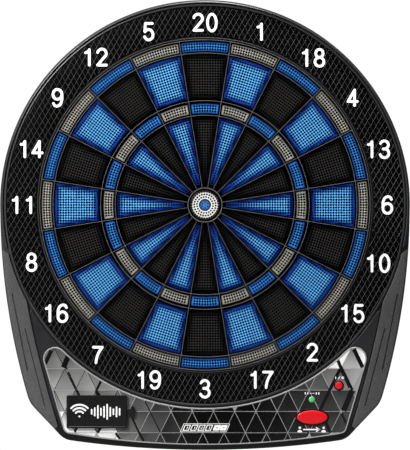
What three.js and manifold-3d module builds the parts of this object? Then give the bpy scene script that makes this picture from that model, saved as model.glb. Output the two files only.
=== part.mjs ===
// Wall-hung electronic dartboard. Millimetres, +Z up, the face looks along -Y.
// Origin: the bull's centre, on the flat back that lies against the wall (y = 0).
// Every depth below is a distance from that back; the face is at the larger depths.
import * as THREE from "three";
import { mergeVertices } from "three/addons/utils/BufferGeometryUtils.js";
import Module from "manifold-3d";

const wasm = await Module();
wasm.setup();

const DEG = Math.PI / 180;

// Outline of the whole board, seen from the front.
const RIM_RADIUS = 244.4;
const SIDE_RADIUS = 809; // the flanks below the bull, tangent to the rim at z = 0
const BOTTOM_Z = -292.1;
const BOTTOM_RADIUS = 1136;
const CHAMFER_NORMAL = new THREE.Vector2(0.7256, -0.688).normalize(); // the cut corner at lower right
const CHAMFER_REACH = 314.2; // distance of the cut corner's line from the bull
const CORNER_SETBACK = 8; // how far the corners' rounding starts from each corner

// Target: the rings of scoring pads and the divider web between them.
// The numbers run clockwise from the top.
const NUMBERS = [20, 1, 18, 4, 13, 6, 10, 15, 2, 17, 3, 19, 7, 16, 8, 11, 14, 9, 12, 5];
const SECTOR = 360 / NUMBERS.length;
// The bands of pads, from the bull outwards: inner single, triple, outer single and double.
const PAD_BANDS = [
  { from: 25, to: 104.7, steps: 2 },
  { from: 109.3, to: 121.2, steps: 2 },
  { from: 127.6, to: 179.2, steps: 3 },
  { from: 183.2, to: 194.8, steps: 3 },
];
const PAD_SIDE = 1.6; // from a divider's middle line to a pad's side
const CARRIER = { from: 23.6, to: 195.6, side: 0.4, back: 17, front: 19 };
const PAD_FRONT = 31.4;
const WEB_HUB = { from: 20, to: 23 };
const WEB_RINGS = [107, 124.4, 181.2]; // middle lines of the ring dividers
const WEB_HALF_WIDTH = 1.1;
const WEB_SPOKE_HALF_WIDTH = 0.8;
const WEB_RIM = { from: 196.2, to: 200.6 };
const WEB_BACK = 19.5;
const WEB_FRONT = 32.8;
const INNER_BULL_RADIUS = 6.5;
const OUTER_BULL = { from: 7.1, to: 18.2, flange: 19.4 };

// Layers behind the pads.
const LAYER_RADIUS = 199.6;
const MAT = { back: 13.6, front: 15.4 };
const MEMBRANE = { back: 12.5, front: 13.1 };
const BACKING = { back: 9.4, front: 12.1 };

// Housings. The front one is a face, a skirt round its edge and a tube round the target.
const SEAM_DEPTH = 14;
const SEAM_GAP = 0.3;
const REAR_INSET = 1.6;
const REAR_PLATE = 3;
const WALL = 2.4;
const WALL_GAP = 0.1; // between a wall and the plate that it stands on
const THROUGH = { back: -1, front: 45 }; // a cut through the whole depth
const FACE_BACK = 29.3;
const FACE_FRONT = 31.8;
const TARGET_HOLE_RADIUS = 201;
const TARGET_TUBE_RADIUS = 203.4;
const RING_RIM = { from: 237.4, to: 240.2, front: 34.4 };
const OUTER_RIM = { from: 241.1, to: RIM_RADIUS, front: 35.6, endAngle: 102 };
const LOWER_DECK = { clear: 240.8, inset: 2.6, top: -50, front: 33.2 };
const NUMBER_RING = { from: 201.4, to: 236.9, back: 32.1, front: 33.5 };

// Side wings and control panel on the lower deck.
const TRIM_BACK = 33.5;
const WING = { inset: 1, clear: 241.2, front: 35.4, topOuterZ: -52, topInnerZ: -60, elbowZ: -115 };
const WING_CURVE = new THREE.Vector2(198.6, -189);
const WING_FOOT = new THREE.Vector2(172.9, -270.6);
const GROOVES = [
  { from: [229.5, -106.3], to: [211.6, -196.8] },
  { from: [214.1, -147.9], to: [190.9, -239.2] },
];
const GROOVE_WIDTH = 1;
const GROOVE_DEPTH = 0.8;
const PANEL = { arc: 242, tip: 14, tipAngle: 44.3, sideTilt: 16.6, bottomInset: 8.3, front: 35 };
const PANEL_FOOT_X = 167.4;

// Controls.
const POWER = { x: 159.5, z: -215, radius: 4.4, collar: 5.7, front: 36.9 };
const NEXT = { x: 127.7, z: -252.9, halfWide: 18.2, halfTall: 8.2, front: 37.2 };
const LED = { x: 127.3, z: -231.7, radius: 3.7, front: 35.7 };
const BUTTON_GAP = 0.5;
const COLLAR_GAP = 0.4;
const COLLAR_RISE = 0.8; // how far the collar stands above the panel
const BUTTON_SKIRT = { grow: 1.8, back: 26.6, front: 28.9 };
const MODULE = { left: -164.9, right: -92.8, top: -226.5, bottom: -265.8, back: 35.3, front: 38.5 };
const STUB = { right: -83.3, top: -239.6, bottom: -253.2, neck: 3, neckHalf: 4, back: 35.4, front: 38.2 };
const BUTTON_PAD = { left: 104, right: 166, top: -206, bottom: -262, back: 22.6, front: 24.4, domes: 25.2 };
const CIRCUIT = { left: 98, right: 168, top: -204, bottom: -263, back: 20.4, front: 22.2 };
const TAIL = { left: 100, right: 118, top: -174, bend: -232, back: 12.5, thick: 0.6, reach: 19.9 };

// Back fittings.
const BAY = { halfWide: 29, top: -212.8, bottom: -259.2, depth: 19, wall: 1.6 };
const COVER = { ledge: 3.4, thick: 1.6, recess: 2, gap: 0.5 };
const COVER_TAB = { x: 16, halfWide: 4, drop: 2, thick: 1.4, front: 4 };
const COVER_NOTCH = { radius: 7, depth: 0.8, drop: 6 };
const CELL = { radius: 7.2, length: 50, pitch: 15.2, middle: 10.6, nubRadius: 2.7, nub: 1.2 };
const CONTACT = { x: 28, thick: 0.5, halfTall: 21, back: 5, front: 16 };
const SCREW = { head: 3.9, headBack: 0.4, headFront: 1.9, shank: 1.6, end: 13.4 };
const SCREW_SEAT = { boss: 5.4, counterbore: 4.4, depth: 2.2, bore: 2 };
const SCREW_PLACES = [
  [155, 155], [155, -155], [-155, -155], [-155, 155], [78, -270], [-78, -270],
];
const BUMPER = { radius: 9, thick: 1.2, pocket: 1.5, gap: 0.4 };
const BUMPER_PLACES = [[170, 100], [-170, 100], [150, -215], [-150, -215]];
const KEYHOLE = { x: 80, z: 150, entry: 4.8, slot: 2.4, rise: 11 };

const MATERIALS = {
  darkShell: new THREE.MeshStandardMaterial({ color: 0x1b1c1e, roughness: 0.5 }),
  wing: new THREE.MeshStandardMaterial({ color: 0x4a4b4d, roughness: 0.45 }),
  ring: new THREE.MeshStandardMaterial({ color: 0x0b0b0c, roughness: 0.5 }),
  web: new THREE.MeshStandardMaterial({ color: 0x17181a, roughness: 0.5 }),
  blackPad: new THREE.MeshStandardMaterial({ color: 0x0d0d0e, roughness: 0.6 }),
  bluePad: new THREE.MeshStandardMaterial({ color: 0x2a6fd6, roughness: 0.5 }),
  bull: new THREE.MeshStandardMaterial({ color: 0xe8e4d6, roughness: 0.5 }),
  rubber: new THREE.MeshStandardMaterial({ color: 0x151515, roughness: 0.9 }),
  film: new THREE.MeshStandardMaterial({ color: 0xb9b08a, roughness: 0.4 }),
  hardboard: new THREE.MeshStandardMaterial({ color: 0x6b4a2f, roughness: 0.8 }),
  panel: new THREE.MeshStandardMaterial({ color: 0x3b3c3e, roughness: 0.15 }),
  red: new THREE.MeshStandardMaterial({ color: 0xd8121c, roughness: 0.4 }),
  green: new THREE.MeshStandardMaterial({ color: 0x35b356, roughness: 0.2 }),
  module: new THREE.MeshStandardMaterial({ color: 0x101011, roughness: 0.6 }),
  circuit: new THREE.MeshStandardMaterial({ color: 0x1f5a35, roughness: 0.5 }),
  steel: new THREE.MeshStandardMaterial({ color: 0xa8aaac, roughness: 0.3, metalness: 1 }),
  cell: new THREE.MeshStandardMaterial({ color: 0x2c2f33, roughness: 0.35 }),
};

const board = new THREE.Group();

function place(name, geometry, material) {
  const mesh = new THREE.Mesh(geometry, material);
  mesh.name = name;
  board.add(mesh);
}

// A flat outline drawn in x and z, made solid between two depths.
function slab(shape, back, front) {
  const geometry = new THREE.ExtrudeGeometry(shape, { depth: front - back, bevelEnabled: false });
  geometry.rotateX(Math.PI / 2);
  geometry.translate(0, -back, 0);
  return geometry;
}

function solid(geometry) {
  const bare = geometry.clone();
  bare.deleteAttribute("normal");
  bare.deleteAttribute("uv");
  const merged = mergeVertices(bare, 1e-4);
  const vertProperties = new Float32Array(merged.attributes.position.array);
  const triVerts = new Uint32Array(merged.index.array);
  return new wasm.Manifold(new wasm.Mesh({ numProp: 3, vertProperties, triVerts }));
}

function surface(manifold) {
  const mesh = manifold.getMesh();
  const geometry = new THREE.BufferGeometry();
  geometry.setAttribute("position", new THREE.BufferAttribute(new Float32Array(mesh.vertProperties), 3));
  geometry.setIndex(new THREE.BufferAttribute(new Uint32Array(mesh.triVerts), 1));
  return geometry;
}

function joined(geometries) {
  return geometries.map(solid).reduce((whole, next) => whole.add(next));
}

function less(whole, geometries) {
  return geometries.reduce((rest, cut) => rest.subtract(solid(cut)), whole);
}

function arc(x, z, radius, from, to, steps) {
  const points = [];
  for (let i = 0; i <= steps; i += 1) {
    const angle = from + ((to - from) * i) / steps;
    points.push(new THREE.Vector2(x + radius * Math.cos(angle), z + radius * Math.sin(angle)));
  }
  return points;
}

function circle(radius, steps, x = 0, z = 0) {
  return arc(x, z, radius, 0, 2 * Math.PI, steps).slice(0, -1);
}

function disc(radius, back, front, steps, x = 0, z = 0) {
  return slab(new THREE.Shape(circle(radius, steps, x, z)), back, front);
}

function washer(from, to, back, front, steps, x = 0, z = 0) {
  const shape = new THREE.Shape(circle(to, steps, x, z));
  shape.holes.push(new THREE.Path(circle(from, steps, x, z)));
  return slab(shape, back, front);
}

function rectangle(left, right, bottom, top) {
  return new THREE.Shape([
    new THREE.Vector2(left, bottom),
    new THREE.Vector2(right, bottom),
    new THREE.Vector2(right, top),
    new THREE.Vector2(left, top),
  ]);
}

function block(left, right, bottom, top, back, front) {
  return slab(rectangle(left, right, bottom, top), back, front);
}

function ellipse(halfWide, halfTall, back, front, x, z) {
  const points = circle(1, 24).map((p) => new THREE.Vector2(x + p.x * halfWide, z + p.y * halfTall));
  return slab(new THREE.Shape(points), back, front);
}

// Where the cut corner's line, moved in by inset, crosses a circle; side is +1 above, -1 below.
function chamferCrossing(centre, radius, inset, side) {
  const reach = CHAMFER_REACH - inset - CHAMFER_NORMAL.dot(centre);
  const along = new THREE.Vector2(-CHAMFER_NORMAL.y, CHAMFER_NORMAL.x);
  const half = Math.sqrt(radius * radius - reach * reach);
  return centre.clone().addScaledVector(CHAMFER_NORMAL, reach).addScaledVector(along, side * half);
}

// Rounds the corner between two straight-ish stretches with a short curve.
function rounded(before, corner, after, setback) {
  const start = before.clone().sub(corner).setLength(setback).add(corner);
  const end = after.clone().sub(corner).setLength(setback).add(corner);
  return new THREE.QuadraticBezierCurve(start, corner, end).getPoints(3);
}

// The right flank from the bottom's middle up to the rim, moved in by inset.
function rightFlank(inset) {
  const side = new THREE.Vector2(RIM_RADIUS - SIDE_RADIUS, 0);
  const bottom = new THREE.Vector2(0, BOTTOM_Z + BOTTOM_RADIUS);
  const low = chamferCrossing(bottom, BOTTOM_RADIUS - inset, inset, -1);
  const high = chamferCrossing(side, SIDE_RADIUS - inset, inset, 1);
  const lowAngle = Math.atan2(low.y - bottom.y, low.x - bottom.x);
  const highAngle = Math.atan2(high.y - side.y, high.x - side.x);
  const base = arc(bottom.x, bottom.y, BOTTOM_RADIUS - inset, -Math.PI / 2, lowAngle, 5);
  const flank = arc(side.x, side.y, SIDE_RADIUS - inset, highAngle, 0, 8);
  return [
    ...base.slice(0, -1),
    ...rounded(base.at(-2), low, high, CORNER_SETBACK),
    ...rounded(low, high, flank[1], CORNER_SETBACK),
    ...flank.slice(1, -1),
  ];
}

function mirrored(points) {
  return points.map((p) => new THREE.Vector2(-p.x, p.y)).reverse();
}

function outline(inset) {
  const flank = rightFlank(inset);
  return new THREE.Shape([
    ...flank,
    ...arc(0, 0, RIM_RADIUS - inset, 0, Math.PI, 30),
    ...mirrored(flank).slice(0, -1),
  ]);
}

// A piece of a ring between two dividers; centre is the sector's angle clockwise from the top.
function sectorPoints(band, side, centre, steps) {
  const points = [];
  for (const [radius, sign] of [[band.to, 1], [band.from, -1]]) {
    const half = (SECTOR / 2) * DEG - Math.asin(side / radius);
    for (let i = 0; i <= steps; i += 1) {
      const angle = centre * DEG + sign * half * (1 - (2 * i) / steps);
      points.push(new THREE.Vector2(radius * Math.sin(angle), radius * Math.cos(angle)));
    }
  }
  return points;
}

function frontHousing() {
  const wedge = new THREE.Shape([
    new THREE.Vector2(0, 0),
    ...arc(0, 0, RIM_RADIUS + 20, (90 - OUTER_RIM.endAngle) * DEG, (90 + OUTER_RIM.endAngle) * DEG, 12),
  ]);
  const outerRim = solid(washer(OUTER_RIM.from, OUTER_RIM.to, FACE_BACK, OUTER_RIM.front, 60)).intersect(
    solid(slab(wedge, FACE_BACK - 1, OUTER_RIM.front + 1)),
  );
  const { back, front } = THROUGH;
  const above = block(-RIM_RADIUS - 1, RIM_RADIUS + 1, LOWER_DECK.top, RIM_RADIUS + 1, back, front);
  const deck = less(solid(slab(outline(LOWER_DECK.inset), FACE_BACK, LOWER_DECK.front)), [
    disc(LOWER_DECK.clear, back, front, 60),
    above,
  ]);
  const face = solid(slab(outline(0), FACE_BACK, FACE_FRONT));
  const ringRim = solid(washer(RING_RIM.from, RING_RIM.to, FACE_BACK + 1, RING_RIM.front, 60));
  return surface(
    less(face.add(deck).add(outerRim).add(ringRim), [
      disc(TARGET_HOLE_RADIUS, back, front, 60),
      disc(POWER.radius + BUTTON_GAP, back, front, 16, POWER.x, POWER.z),
      disc(LED.radius + BUTTON_GAP, back, front, 12, LED.x, LED.z),
      ellipse(NEXT.halfWide + BUTTON_GAP, NEXT.halfTall + BUTTON_GAP, back, front, NEXT.x, NEXT.z),
    ]),
  );
}

// The wall that runs round the board's edge from one depth to another, its outside moved in by inset.
function edgeWall(inset, back, front) {
  const cut = slab(outline(inset + WALL), back - 1, front + 1);
  return surface(less(solid(slab(outline(inset), back, front)), [cut]));
}

function wingShape() {
  const flank = rightFlank(WING.inset).filter((p) => p.x > WING_FOOT.x - 6 && p.y < WING.topOuterZ);
  const side = SIDE_RADIUS - WING.inset;
  const topX = RIM_RADIUS - SIDE_RADIUS + Math.sqrt(side * side - WING.topOuterZ * WING.topOuterZ);
  const from = Math.asin(WING.topInnerZ / WING.clear);
  const to = Math.asin(WING.elbowZ / WING.clear);
  const inner = arc(0, 0, WING.clear, from, to, 5);
  const leg = new THREE.QuadraticBezierCurve(inner.at(-1), WING_CURVE, WING_FOOT).getPoints(5);
  return [...flank, new THREE.Vector2(topX, WING.topOuterZ), ...inner, ...leg.slice(1)];
}

function groove(line) {
  const from = new THREE.Vector2(...line.from);
  const to = new THREE.Vector2(...line.to);
  const across = to.clone().sub(from).normalize().rotateAround(new THREE.Vector2(), Math.PI / 2);
  across.multiplyScalar(GROOVE_WIDTH / 2);
  const points = [
    from.clone().sub(across),
    from.clone().add(across),
    to.clone().add(across),
    to.clone().sub(across),
  ];
  return slab(new THREE.Shape(points.reverse()), WING.front - GROOVE_DEPTH, WING.front + 1);
}

function wing(mirror) {
  const right = less(solid(slab(new THREE.Shape(wingShape()), TRIM_BACK, WING.front)), GROOVES.map(groove));
  return surface(mirror ? right.mirror([1, 0, 0]) : right);
}

function panelShape() {
  const reach = PANEL.arc + PANEL.tip;
  const tip = PANEL.tipAngle * DEG;
  const centre = new THREE.Vector2(reach * Math.sin(tip), -reach * Math.cos(tip));
  const bottomRadius = BOTTOM_RADIUS - PANEL.bottomInset;
  const bottomZ = BOTTOM_Z + BOTTOM_RADIUS;
  const footAngle = Math.asin(PANEL_FOOT_X / bottomRadius);
  const bottom = arc(0, bottomZ, bottomRadius, -Math.PI / 2, -Math.PI / 2 + footAngle, 6);
  const tipArc = arc(centre.x, centre.y, PANEL.tip, -PANEL.sideTilt * DEG, Math.PI / 2 + tip, 7);
  const top = arc(0, 0, PANEL.arc, -Math.PI / 2 + tip, -Math.PI / 2, 12);
  const right = [
    ...bottom.slice(0, -1),
    ...rounded(bottom.at(-2), bottom.at(-1), tipArc[0], CORNER_SETBACK),
    ...tipArc,
    ...top.slice(1),
  ];
  return new THREE.Shape([...right, ...mirrored(right).slice(1, -1)]);
}

function controlPanel() {
  const { back, front } = THROUGH;
  return surface(
    less(solid(slab(panelShape(), TRIM_BACK, PANEL.front)), [
      disc(POWER.collar + COLLAR_GAP, back, front, 20, POWER.x, POWER.z),
      disc(LED.radius + BUTTON_GAP, back, front, 12, LED.x, LED.z),
      ellipse(NEXT.halfWide + BUTTON_GAP, NEXT.halfTall + BUTTON_GAP, back, front, NEXT.x, NEXT.z),
    ]),
  );
}

function web() {
  const sides = WEB_RINGS.flatMap((r) => [r - WEB_HALF_WIDTH, r + WEB_HALF_WIDTH]);
  const edges = [WEB_HUB.to, ...sides, WEB_RIM.from];
  const cells = NUMBERS.flatMap((_, i) =>
    PAD_BANDS.map((band, j) => {
      const cell = { from: edges[2 * j], to: edges[2 * j + 1] };
      const shape = new THREE.Shape(sectorPoints(cell, WEB_SPOKE_HALF_WIDTH, i * SECTOR, band.steps));
      return slab(shape, WEB_BACK - 1, WEB_FRONT + 1);
    }),
  );
  return surface(less(solid(washer(WEB_HUB.from, WEB_RIM.to, WEB_BACK, WEB_FRONT, 60)), cells));
}

// One number's four pads on the carrier that joins them behind the divider web.
function numberPads(i) {
  const centre = i * SECTOR;
  const carrier = new THREE.Shape(sectorPoints(CARRIER, CARRIER.side, centre, 3));
  const pads = PAD_BANDS.map((band) => {
    const shape = new THREE.Shape(sectorPoints(band, PAD_SIDE, centre, band.steps));
    return slab(shape, CARRIER.back + 1, PAD_FRONT);
  });
  return surface(joined([slab(carrier, CARRIER.back, CARRIER.front), ...pads]));
}

function outerBull() {
  return surface(
    joined([
      washer(OUTER_BULL.from, OUTER_BULL.to, CARRIER.back, PAD_FRONT, 24),
      washer(OUTER_BULL.from, OUTER_BULL.flange, CARRIER.back, CARRIER.front, 24),
    ]),
  );
}

function rearHousing() {
  const plate = slab(outline(REAR_INSET), 0, REAR_PLATE);
  const outer = BAY.halfWide + BAY.wall;
  const tub = block(-outer, outer, BAY.bottom - BAY.wall, BAY.top + BAY.wall, 1, BAY.depth + BAY.wall);
  const bosses = SCREW_PLACES.map(([x, z]) => disc(SCREW_SEAT.boss, 1, SEAM_DEPTH - SEAM_GAP, 16, x, z));
  const recess = BAY.halfWide + COVER.ledge;
  const cuts = [
    block(-BAY.halfWide, BAY.halfWide, BAY.bottom, BAY.top, -1, BAY.depth),
    block(-recess, recess, BAY.bottom - COVER.ledge, BAY.top + COVER.ledge, -1, COVER.recess),
    ...SCREW_PLACES.map(([x, z]) => disc(SCREW_SEAT.bore, -1, SEAM_DEPTH + 1, 12, x, z)),
    ...SCREW_PLACES.map(([x, z]) => disc(SCREW_SEAT.counterbore, -1, SCREW_SEAT.depth, 16, x, z)),
    ...BUMPER_PLACES.map(([x, z]) => disc(BUMPER.radius + BUMPER.gap, -1, BUMPER.pocket, 20, x, z)),
    ...[-1, 1].flatMap((side) => [
      disc(KEYHOLE.entry, -1, REAR_PLATE + 1, 16, side * KEYHOLE.x, KEYHOLE.z),
      slab(keySlot(side * KEYHOLE.x), -1, REAR_PLATE + 1),
    ]),
  ];
  return surface(less(joined([plate, tub, ...bosses]), cuts));
}

// The narrow end of a keyhole: a slot that runs up from the entry hole to a round end.
function keySlot(x) {
  const top = KEYHOLE.z + KEYHOLE.rise;
  return new THREE.Shape([
    new THREE.Vector2(x - KEYHOLE.slot, KEYHOLE.z),
    new THREE.Vector2(x + KEYHOLE.slot, KEYHOLE.z),
    ...arc(x, top, KEYHOLE.slot, 0, Math.PI, 6),
  ]);
}

function batteryCover() {
  const half = BAY.halfWide + COVER.ledge - COVER.gap;
  const grow = COVER.ledge - COVER.gap;
  const plate = block(-half, half, BAY.bottom - grow, BAY.top + grow, 0, COVER.thick);
  const tabBottom = BAY.top - COVER_TAB.drop;
  const tabs = [-COVER_TAB.x, COVER_TAB.x].map((x) =>
    block(
      x - COVER_TAB.halfWide,
      x + COVER_TAB.halfWide,
      tabBottom,
      tabBottom + COVER_TAB.thick,
      COVER.thick / 2,
      COVER_TAB.front,
    ),
  );
  const notch = disc(COVER_NOTCH.radius, -1, COVER_NOTCH.depth, 20, 0, BAY.top - COVER_NOTCH.drop);
  return surface(less(joined([plate, ...tabs]), [notch]));
}

function batteryCell(i) {
  const body = new THREE.CylinderGeometry(CELL.radius, CELL.radius, CELL.length, 20);
  const nub = new THREE.CylinderGeometry(CELL.nubRadius, CELL.nubRadius, CELL.nub + 1, 12);
  nub.translate(0, (CELL.length + CELL.nub - 1) / 2, 0);
  const cell = surface(joined([body, nub]));
  const end = i % 2 === 0 ? -1 : 1; // neighbouring cells face opposite ways
  cell.rotateZ((end * Math.PI) / 2);
  cell.translate(0, -CELL.middle, (BAY.top + BAY.bottom) / 2 + (i - 1) * CELL.pitch);
  return cell;
}

function screw([x, z]) {
  return surface(
    joined([
      disc(SCREW.head, SCREW.headBack, SCREW.headFront, 16, x, z),
      disc(SCREW.shank, SCREW.headBack + 0.5, SCREW.end, 10, x, z),
    ]),
  );
}

function buttonPad() {
  const { left, right, bottom, top, back, front } = BUTTON_PAD;
  const sheet = block(left, right, bottom, top, back, front);
  const domes = [
    disc(POWER.radius - 0.4, back, BUTTON_PAD.domes, 16, POWER.x, POWER.z),
    ellipse(NEXT.halfWide - 4, NEXT.halfTall - 2, back, BUTTON_PAD.domes, NEXT.x, NEXT.z),
  ];
  const window = disc(LED.radius + 1, back - 1, front + 1, 12, LED.x, LED.z);
  return surface(less(joined([sheet, ...domes]), [window]));
}

// Flat cable: down behind the housing's tube, then forward to the circuit board.
function ribbonTail() {
  const front = TAIL.back + TAIL.thick;
  const down = block(TAIL.left, TAIL.right, TAIL.bend, TAIL.top, TAIL.back, front);
  const forward = block(TAIL.left, TAIL.right, TAIL.bend, TAIL.bend + TAIL.thick, TAIL.back, TAIL.reach);
  return surface(joined([down, forward]));
}

function moduleStub() {
  const height = (STUB.top + STUB.bottom) / 2;
  const neck = block(
    MODULE.right + 0.3,
    MODULE.right + STUB.neck + 1,
    height - STUB.neckHalf,
    height + STUB.neckHalf,
    STUB.back,
    STUB.front - 0.6,
  );
  const points = circle(1, 8).map((p) => p.clone().rotateAround(new THREE.Vector2(), Math.PI / 8));
  const halfWide = (STUB.right - MODULE.right - STUB.neck) / 2 / Math.cos(Math.PI / 8);
  const halfTall = (STUB.top - STUB.bottom) / 2 / Math.cos(Math.PI / 8);
  const middle = new THREE.Vector2((STUB.right + MODULE.right + STUB.neck) / 2, height);
  const knob = points.map((p) => new THREE.Vector2(middle.x + p.x * halfWide, middle.y + p.y * halfTall));
  return surface(joined([neck, slab(new THREE.Shape(knob), STUB.back, STUB.front)]));
}

function nextButton() {
  const skirtWide = NEXT.halfWide + BUTTON_SKIRT.grow;
  const skirtTall = NEXT.halfTall + BUTTON_SKIRT.grow;
  return surface(
    joined([
      ellipse(NEXT.halfWide, NEXT.halfTall, BUTTON_SKIRT.back, NEXT.front, NEXT.x, NEXT.z),
      ellipse(skirtWide, skirtTall, BUTTON_SKIRT.back, BUTTON_SKIRT.front, NEXT.x, NEXT.z),
    ]),
  );
}

function powerButton() {
  return surface(
    joined([
      disc(POWER.radius, BUTTON_SKIRT.back, POWER.front, 20, POWER.x, POWER.z),
      disc(POWER.radius + BUTTON_SKIRT.grow, BUTTON_SKIRT.back, BUTTON_SKIRT.front, 20, POWER.x, POWER.z),
    ]),
  );
}

place("front_housing", frontHousing(), MATERIALS.darkShell);
place("front_skirt", edgeWall(0, SEAM_DEPTH, FACE_BACK - WALL_GAP), MATERIALS.darkShell);
place(
  "target_tube",
  washer(TARGET_HOLE_RADIUS, TARGET_TUBE_RADIUS, SEAM_DEPTH, FACE_BACK - WALL_GAP, 60),
  MATERIALS.darkShell,
);
place("rear_housing", rearHousing(), MATERIALS.darkShell);
place("rear_wall", edgeWall(REAR_INSET, REAR_PLATE + WALL_GAP, SEAM_DEPTH - SEAM_GAP), MATERIALS.darkShell);
place("side_wing_right", wing(false), MATERIALS.wing);
place("side_wing_left", wing(true), MATERIALS.wing);
place(
  "number_ring",
  washer(NUMBER_RING.from, NUMBER_RING.to, NUMBER_RING.back, NUMBER_RING.front, 60),
  MATERIALS.ring,
);
place("divider_web", web(), MATERIALS.web);

NUMBERS.forEach((number, i) => {
  const name = `segment_${String(number).padStart(2, "0")}`;
  place(name, numberPads(i), i % 2 === 0 ? MATERIALS.blackPad : MATERIALS.bluePad);
});
place("outer_bull", outerBull(), MATERIALS.bull);
place("inner_bull", disc(INNER_BULL_RADIUS, CARRIER.back, PAD_FRONT, 24), MATERIALS.bluePad);

place("rubber_mat", disc(LAYER_RADIUS, MAT.back, MAT.front, 36), MATERIALS.rubber);
place("contact_membrane", disc(LAYER_RADIUS, MEMBRANE.back, MEMBRANE.front, 36), MATERIALS.film);
place("backing_board", disc(LAYER_RADIUS, BACKING.back, BACKING.front, 36), MATERIALS.hardboard);

place("control_panel", controlPanel(), MATERIALS.panel);
place("power_button", powerButton(), MATERIALS.red);
place(
  "power_collar",
  washer(POWER.radius + COLLAR_GAP, POWER.collar, TRIM_BACK, PANEL.front + COLLAR_RISE, 20, POWER.x, POWER.z),
  MATERIALS.module,
);
place("next_player_button", nextButton(), MATERIALS.red);
place("status_led_lens", disc(LED.radius, BUTTON_PAD.domes, LED.front, 16, LED.x, LED.z), MATERIALS.green);
place(
  "wireless_module",
  block(MODULE.left, MODULE.right, MODULE.bottom, MODULE.top, MODULE.back, MODULE.front),
  MATERIALS.module,
);
place("module_stub", moduleStub(), MATERIALS.module);
place("button_pad", buttonPad(), MATERIALS.rubber);
place(
  "main_circuit",
  block(CIRCUIT.left, CIRCUIT.right, CIRCUIT.bottom, CIRCUIT.top, CIRCUIT.back, CIRCUIT.front),
  MATERIALS.circuit,
);
place("ribbon_tail", ribbonTail(), MATERIALS.film);

place("battery_cover", batteryCover(), MATERIALS.darkShell);
for (let i = 0; i < 3; i += 1) {
  place(`battery_${i + 1}`, batteryCell(i), MATERIALS.cell);
}
for (const [name, x] of [["battery_contact_left", -CONTACT.x], ["battery_contact_right", CONTACT.x]]) {
  const middle = (BAY.top + BAY.bottom) / 2;
  const plate = rectangle(
    x - CONTACT.thick / 2,
    x + CONTACT.thick / 2,
    middle - CONTACT.halfTall,
    middle + CONTACT.halfTall,
  );
  place(name, slab(plate, CONTACT.back, CONTACT.front), MATERIALS.steel);
}
SCREW_PLACES.forEach((spot, i) => place(`case_screw_${i + 1}`, screw(spot), MATERIALS.steel));
BUMPER_PLACES.forEach(([x, z], i) => {
  place(`wall_bumper_${i + 1}`, disc(BUMPER.radius, 0, BUMPER.thick, 20, x, z), MATERIALS.rubber);
});

export default board;
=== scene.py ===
"""Electronic dartboard: the visual model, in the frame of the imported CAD.

Flat shapes are drawn in x and z, in millimetres, as seen from the front, and a depth is the distance in front
of the wall. A point (x, z) at a depth is (x, -depth, z) in the row frame, in metres.
"""

import math
import random

import bmesh
import bpy
import numpy as np
from mathutils.geometry import delaunay_2d_cdt
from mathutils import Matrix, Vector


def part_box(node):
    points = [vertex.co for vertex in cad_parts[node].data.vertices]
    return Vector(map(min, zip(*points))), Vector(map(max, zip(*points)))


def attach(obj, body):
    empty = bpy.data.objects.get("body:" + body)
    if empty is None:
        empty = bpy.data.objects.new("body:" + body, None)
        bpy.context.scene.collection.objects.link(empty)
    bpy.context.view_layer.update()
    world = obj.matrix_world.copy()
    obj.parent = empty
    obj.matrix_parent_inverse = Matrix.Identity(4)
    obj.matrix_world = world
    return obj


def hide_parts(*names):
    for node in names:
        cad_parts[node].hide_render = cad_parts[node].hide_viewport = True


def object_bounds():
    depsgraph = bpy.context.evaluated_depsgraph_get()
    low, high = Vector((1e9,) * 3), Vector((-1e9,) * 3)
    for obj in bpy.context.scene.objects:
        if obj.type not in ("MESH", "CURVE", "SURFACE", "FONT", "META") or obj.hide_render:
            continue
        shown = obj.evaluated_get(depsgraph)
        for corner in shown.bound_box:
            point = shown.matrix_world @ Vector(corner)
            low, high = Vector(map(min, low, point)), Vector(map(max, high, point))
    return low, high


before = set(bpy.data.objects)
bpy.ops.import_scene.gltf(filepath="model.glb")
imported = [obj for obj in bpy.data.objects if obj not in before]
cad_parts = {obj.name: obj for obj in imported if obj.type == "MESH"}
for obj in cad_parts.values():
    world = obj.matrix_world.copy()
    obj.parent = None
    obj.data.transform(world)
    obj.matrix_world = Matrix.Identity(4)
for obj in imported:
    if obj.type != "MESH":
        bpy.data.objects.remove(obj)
cad_low, cad_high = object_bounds()

MM = 0.001


def sides(cad_node):
    """A CAD node's left, right, bottom and top."""
    low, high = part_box(cad_node)
    return low.x / MM, high.x / MM, low.z / MM, high.z / MM


def depths(cad_node):
    """The depths of a CAD node's back and front."""
    low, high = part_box(cad_node)
    return -high.y / MM, -low.y / MM


# Outline
_, RIM_RADIUS, BOTTOM_Z, _ = sides("front_housing")
SIDE_RADIUS = 809.0  # the flanks bow out with this radius, and the bottom with the next
BOTTOM_RADIUS = 1136.0
CHAMFER_NORMAL = np.array([0.7256, -0.688]) / math.hypot(0.7256, 0.688)
CHAMFER_REACH = 314.2
CORNER_SETBACK = 8.0
REAR_INSET = RIM_RADIUS - sides("rear_housing")[1]

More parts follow.
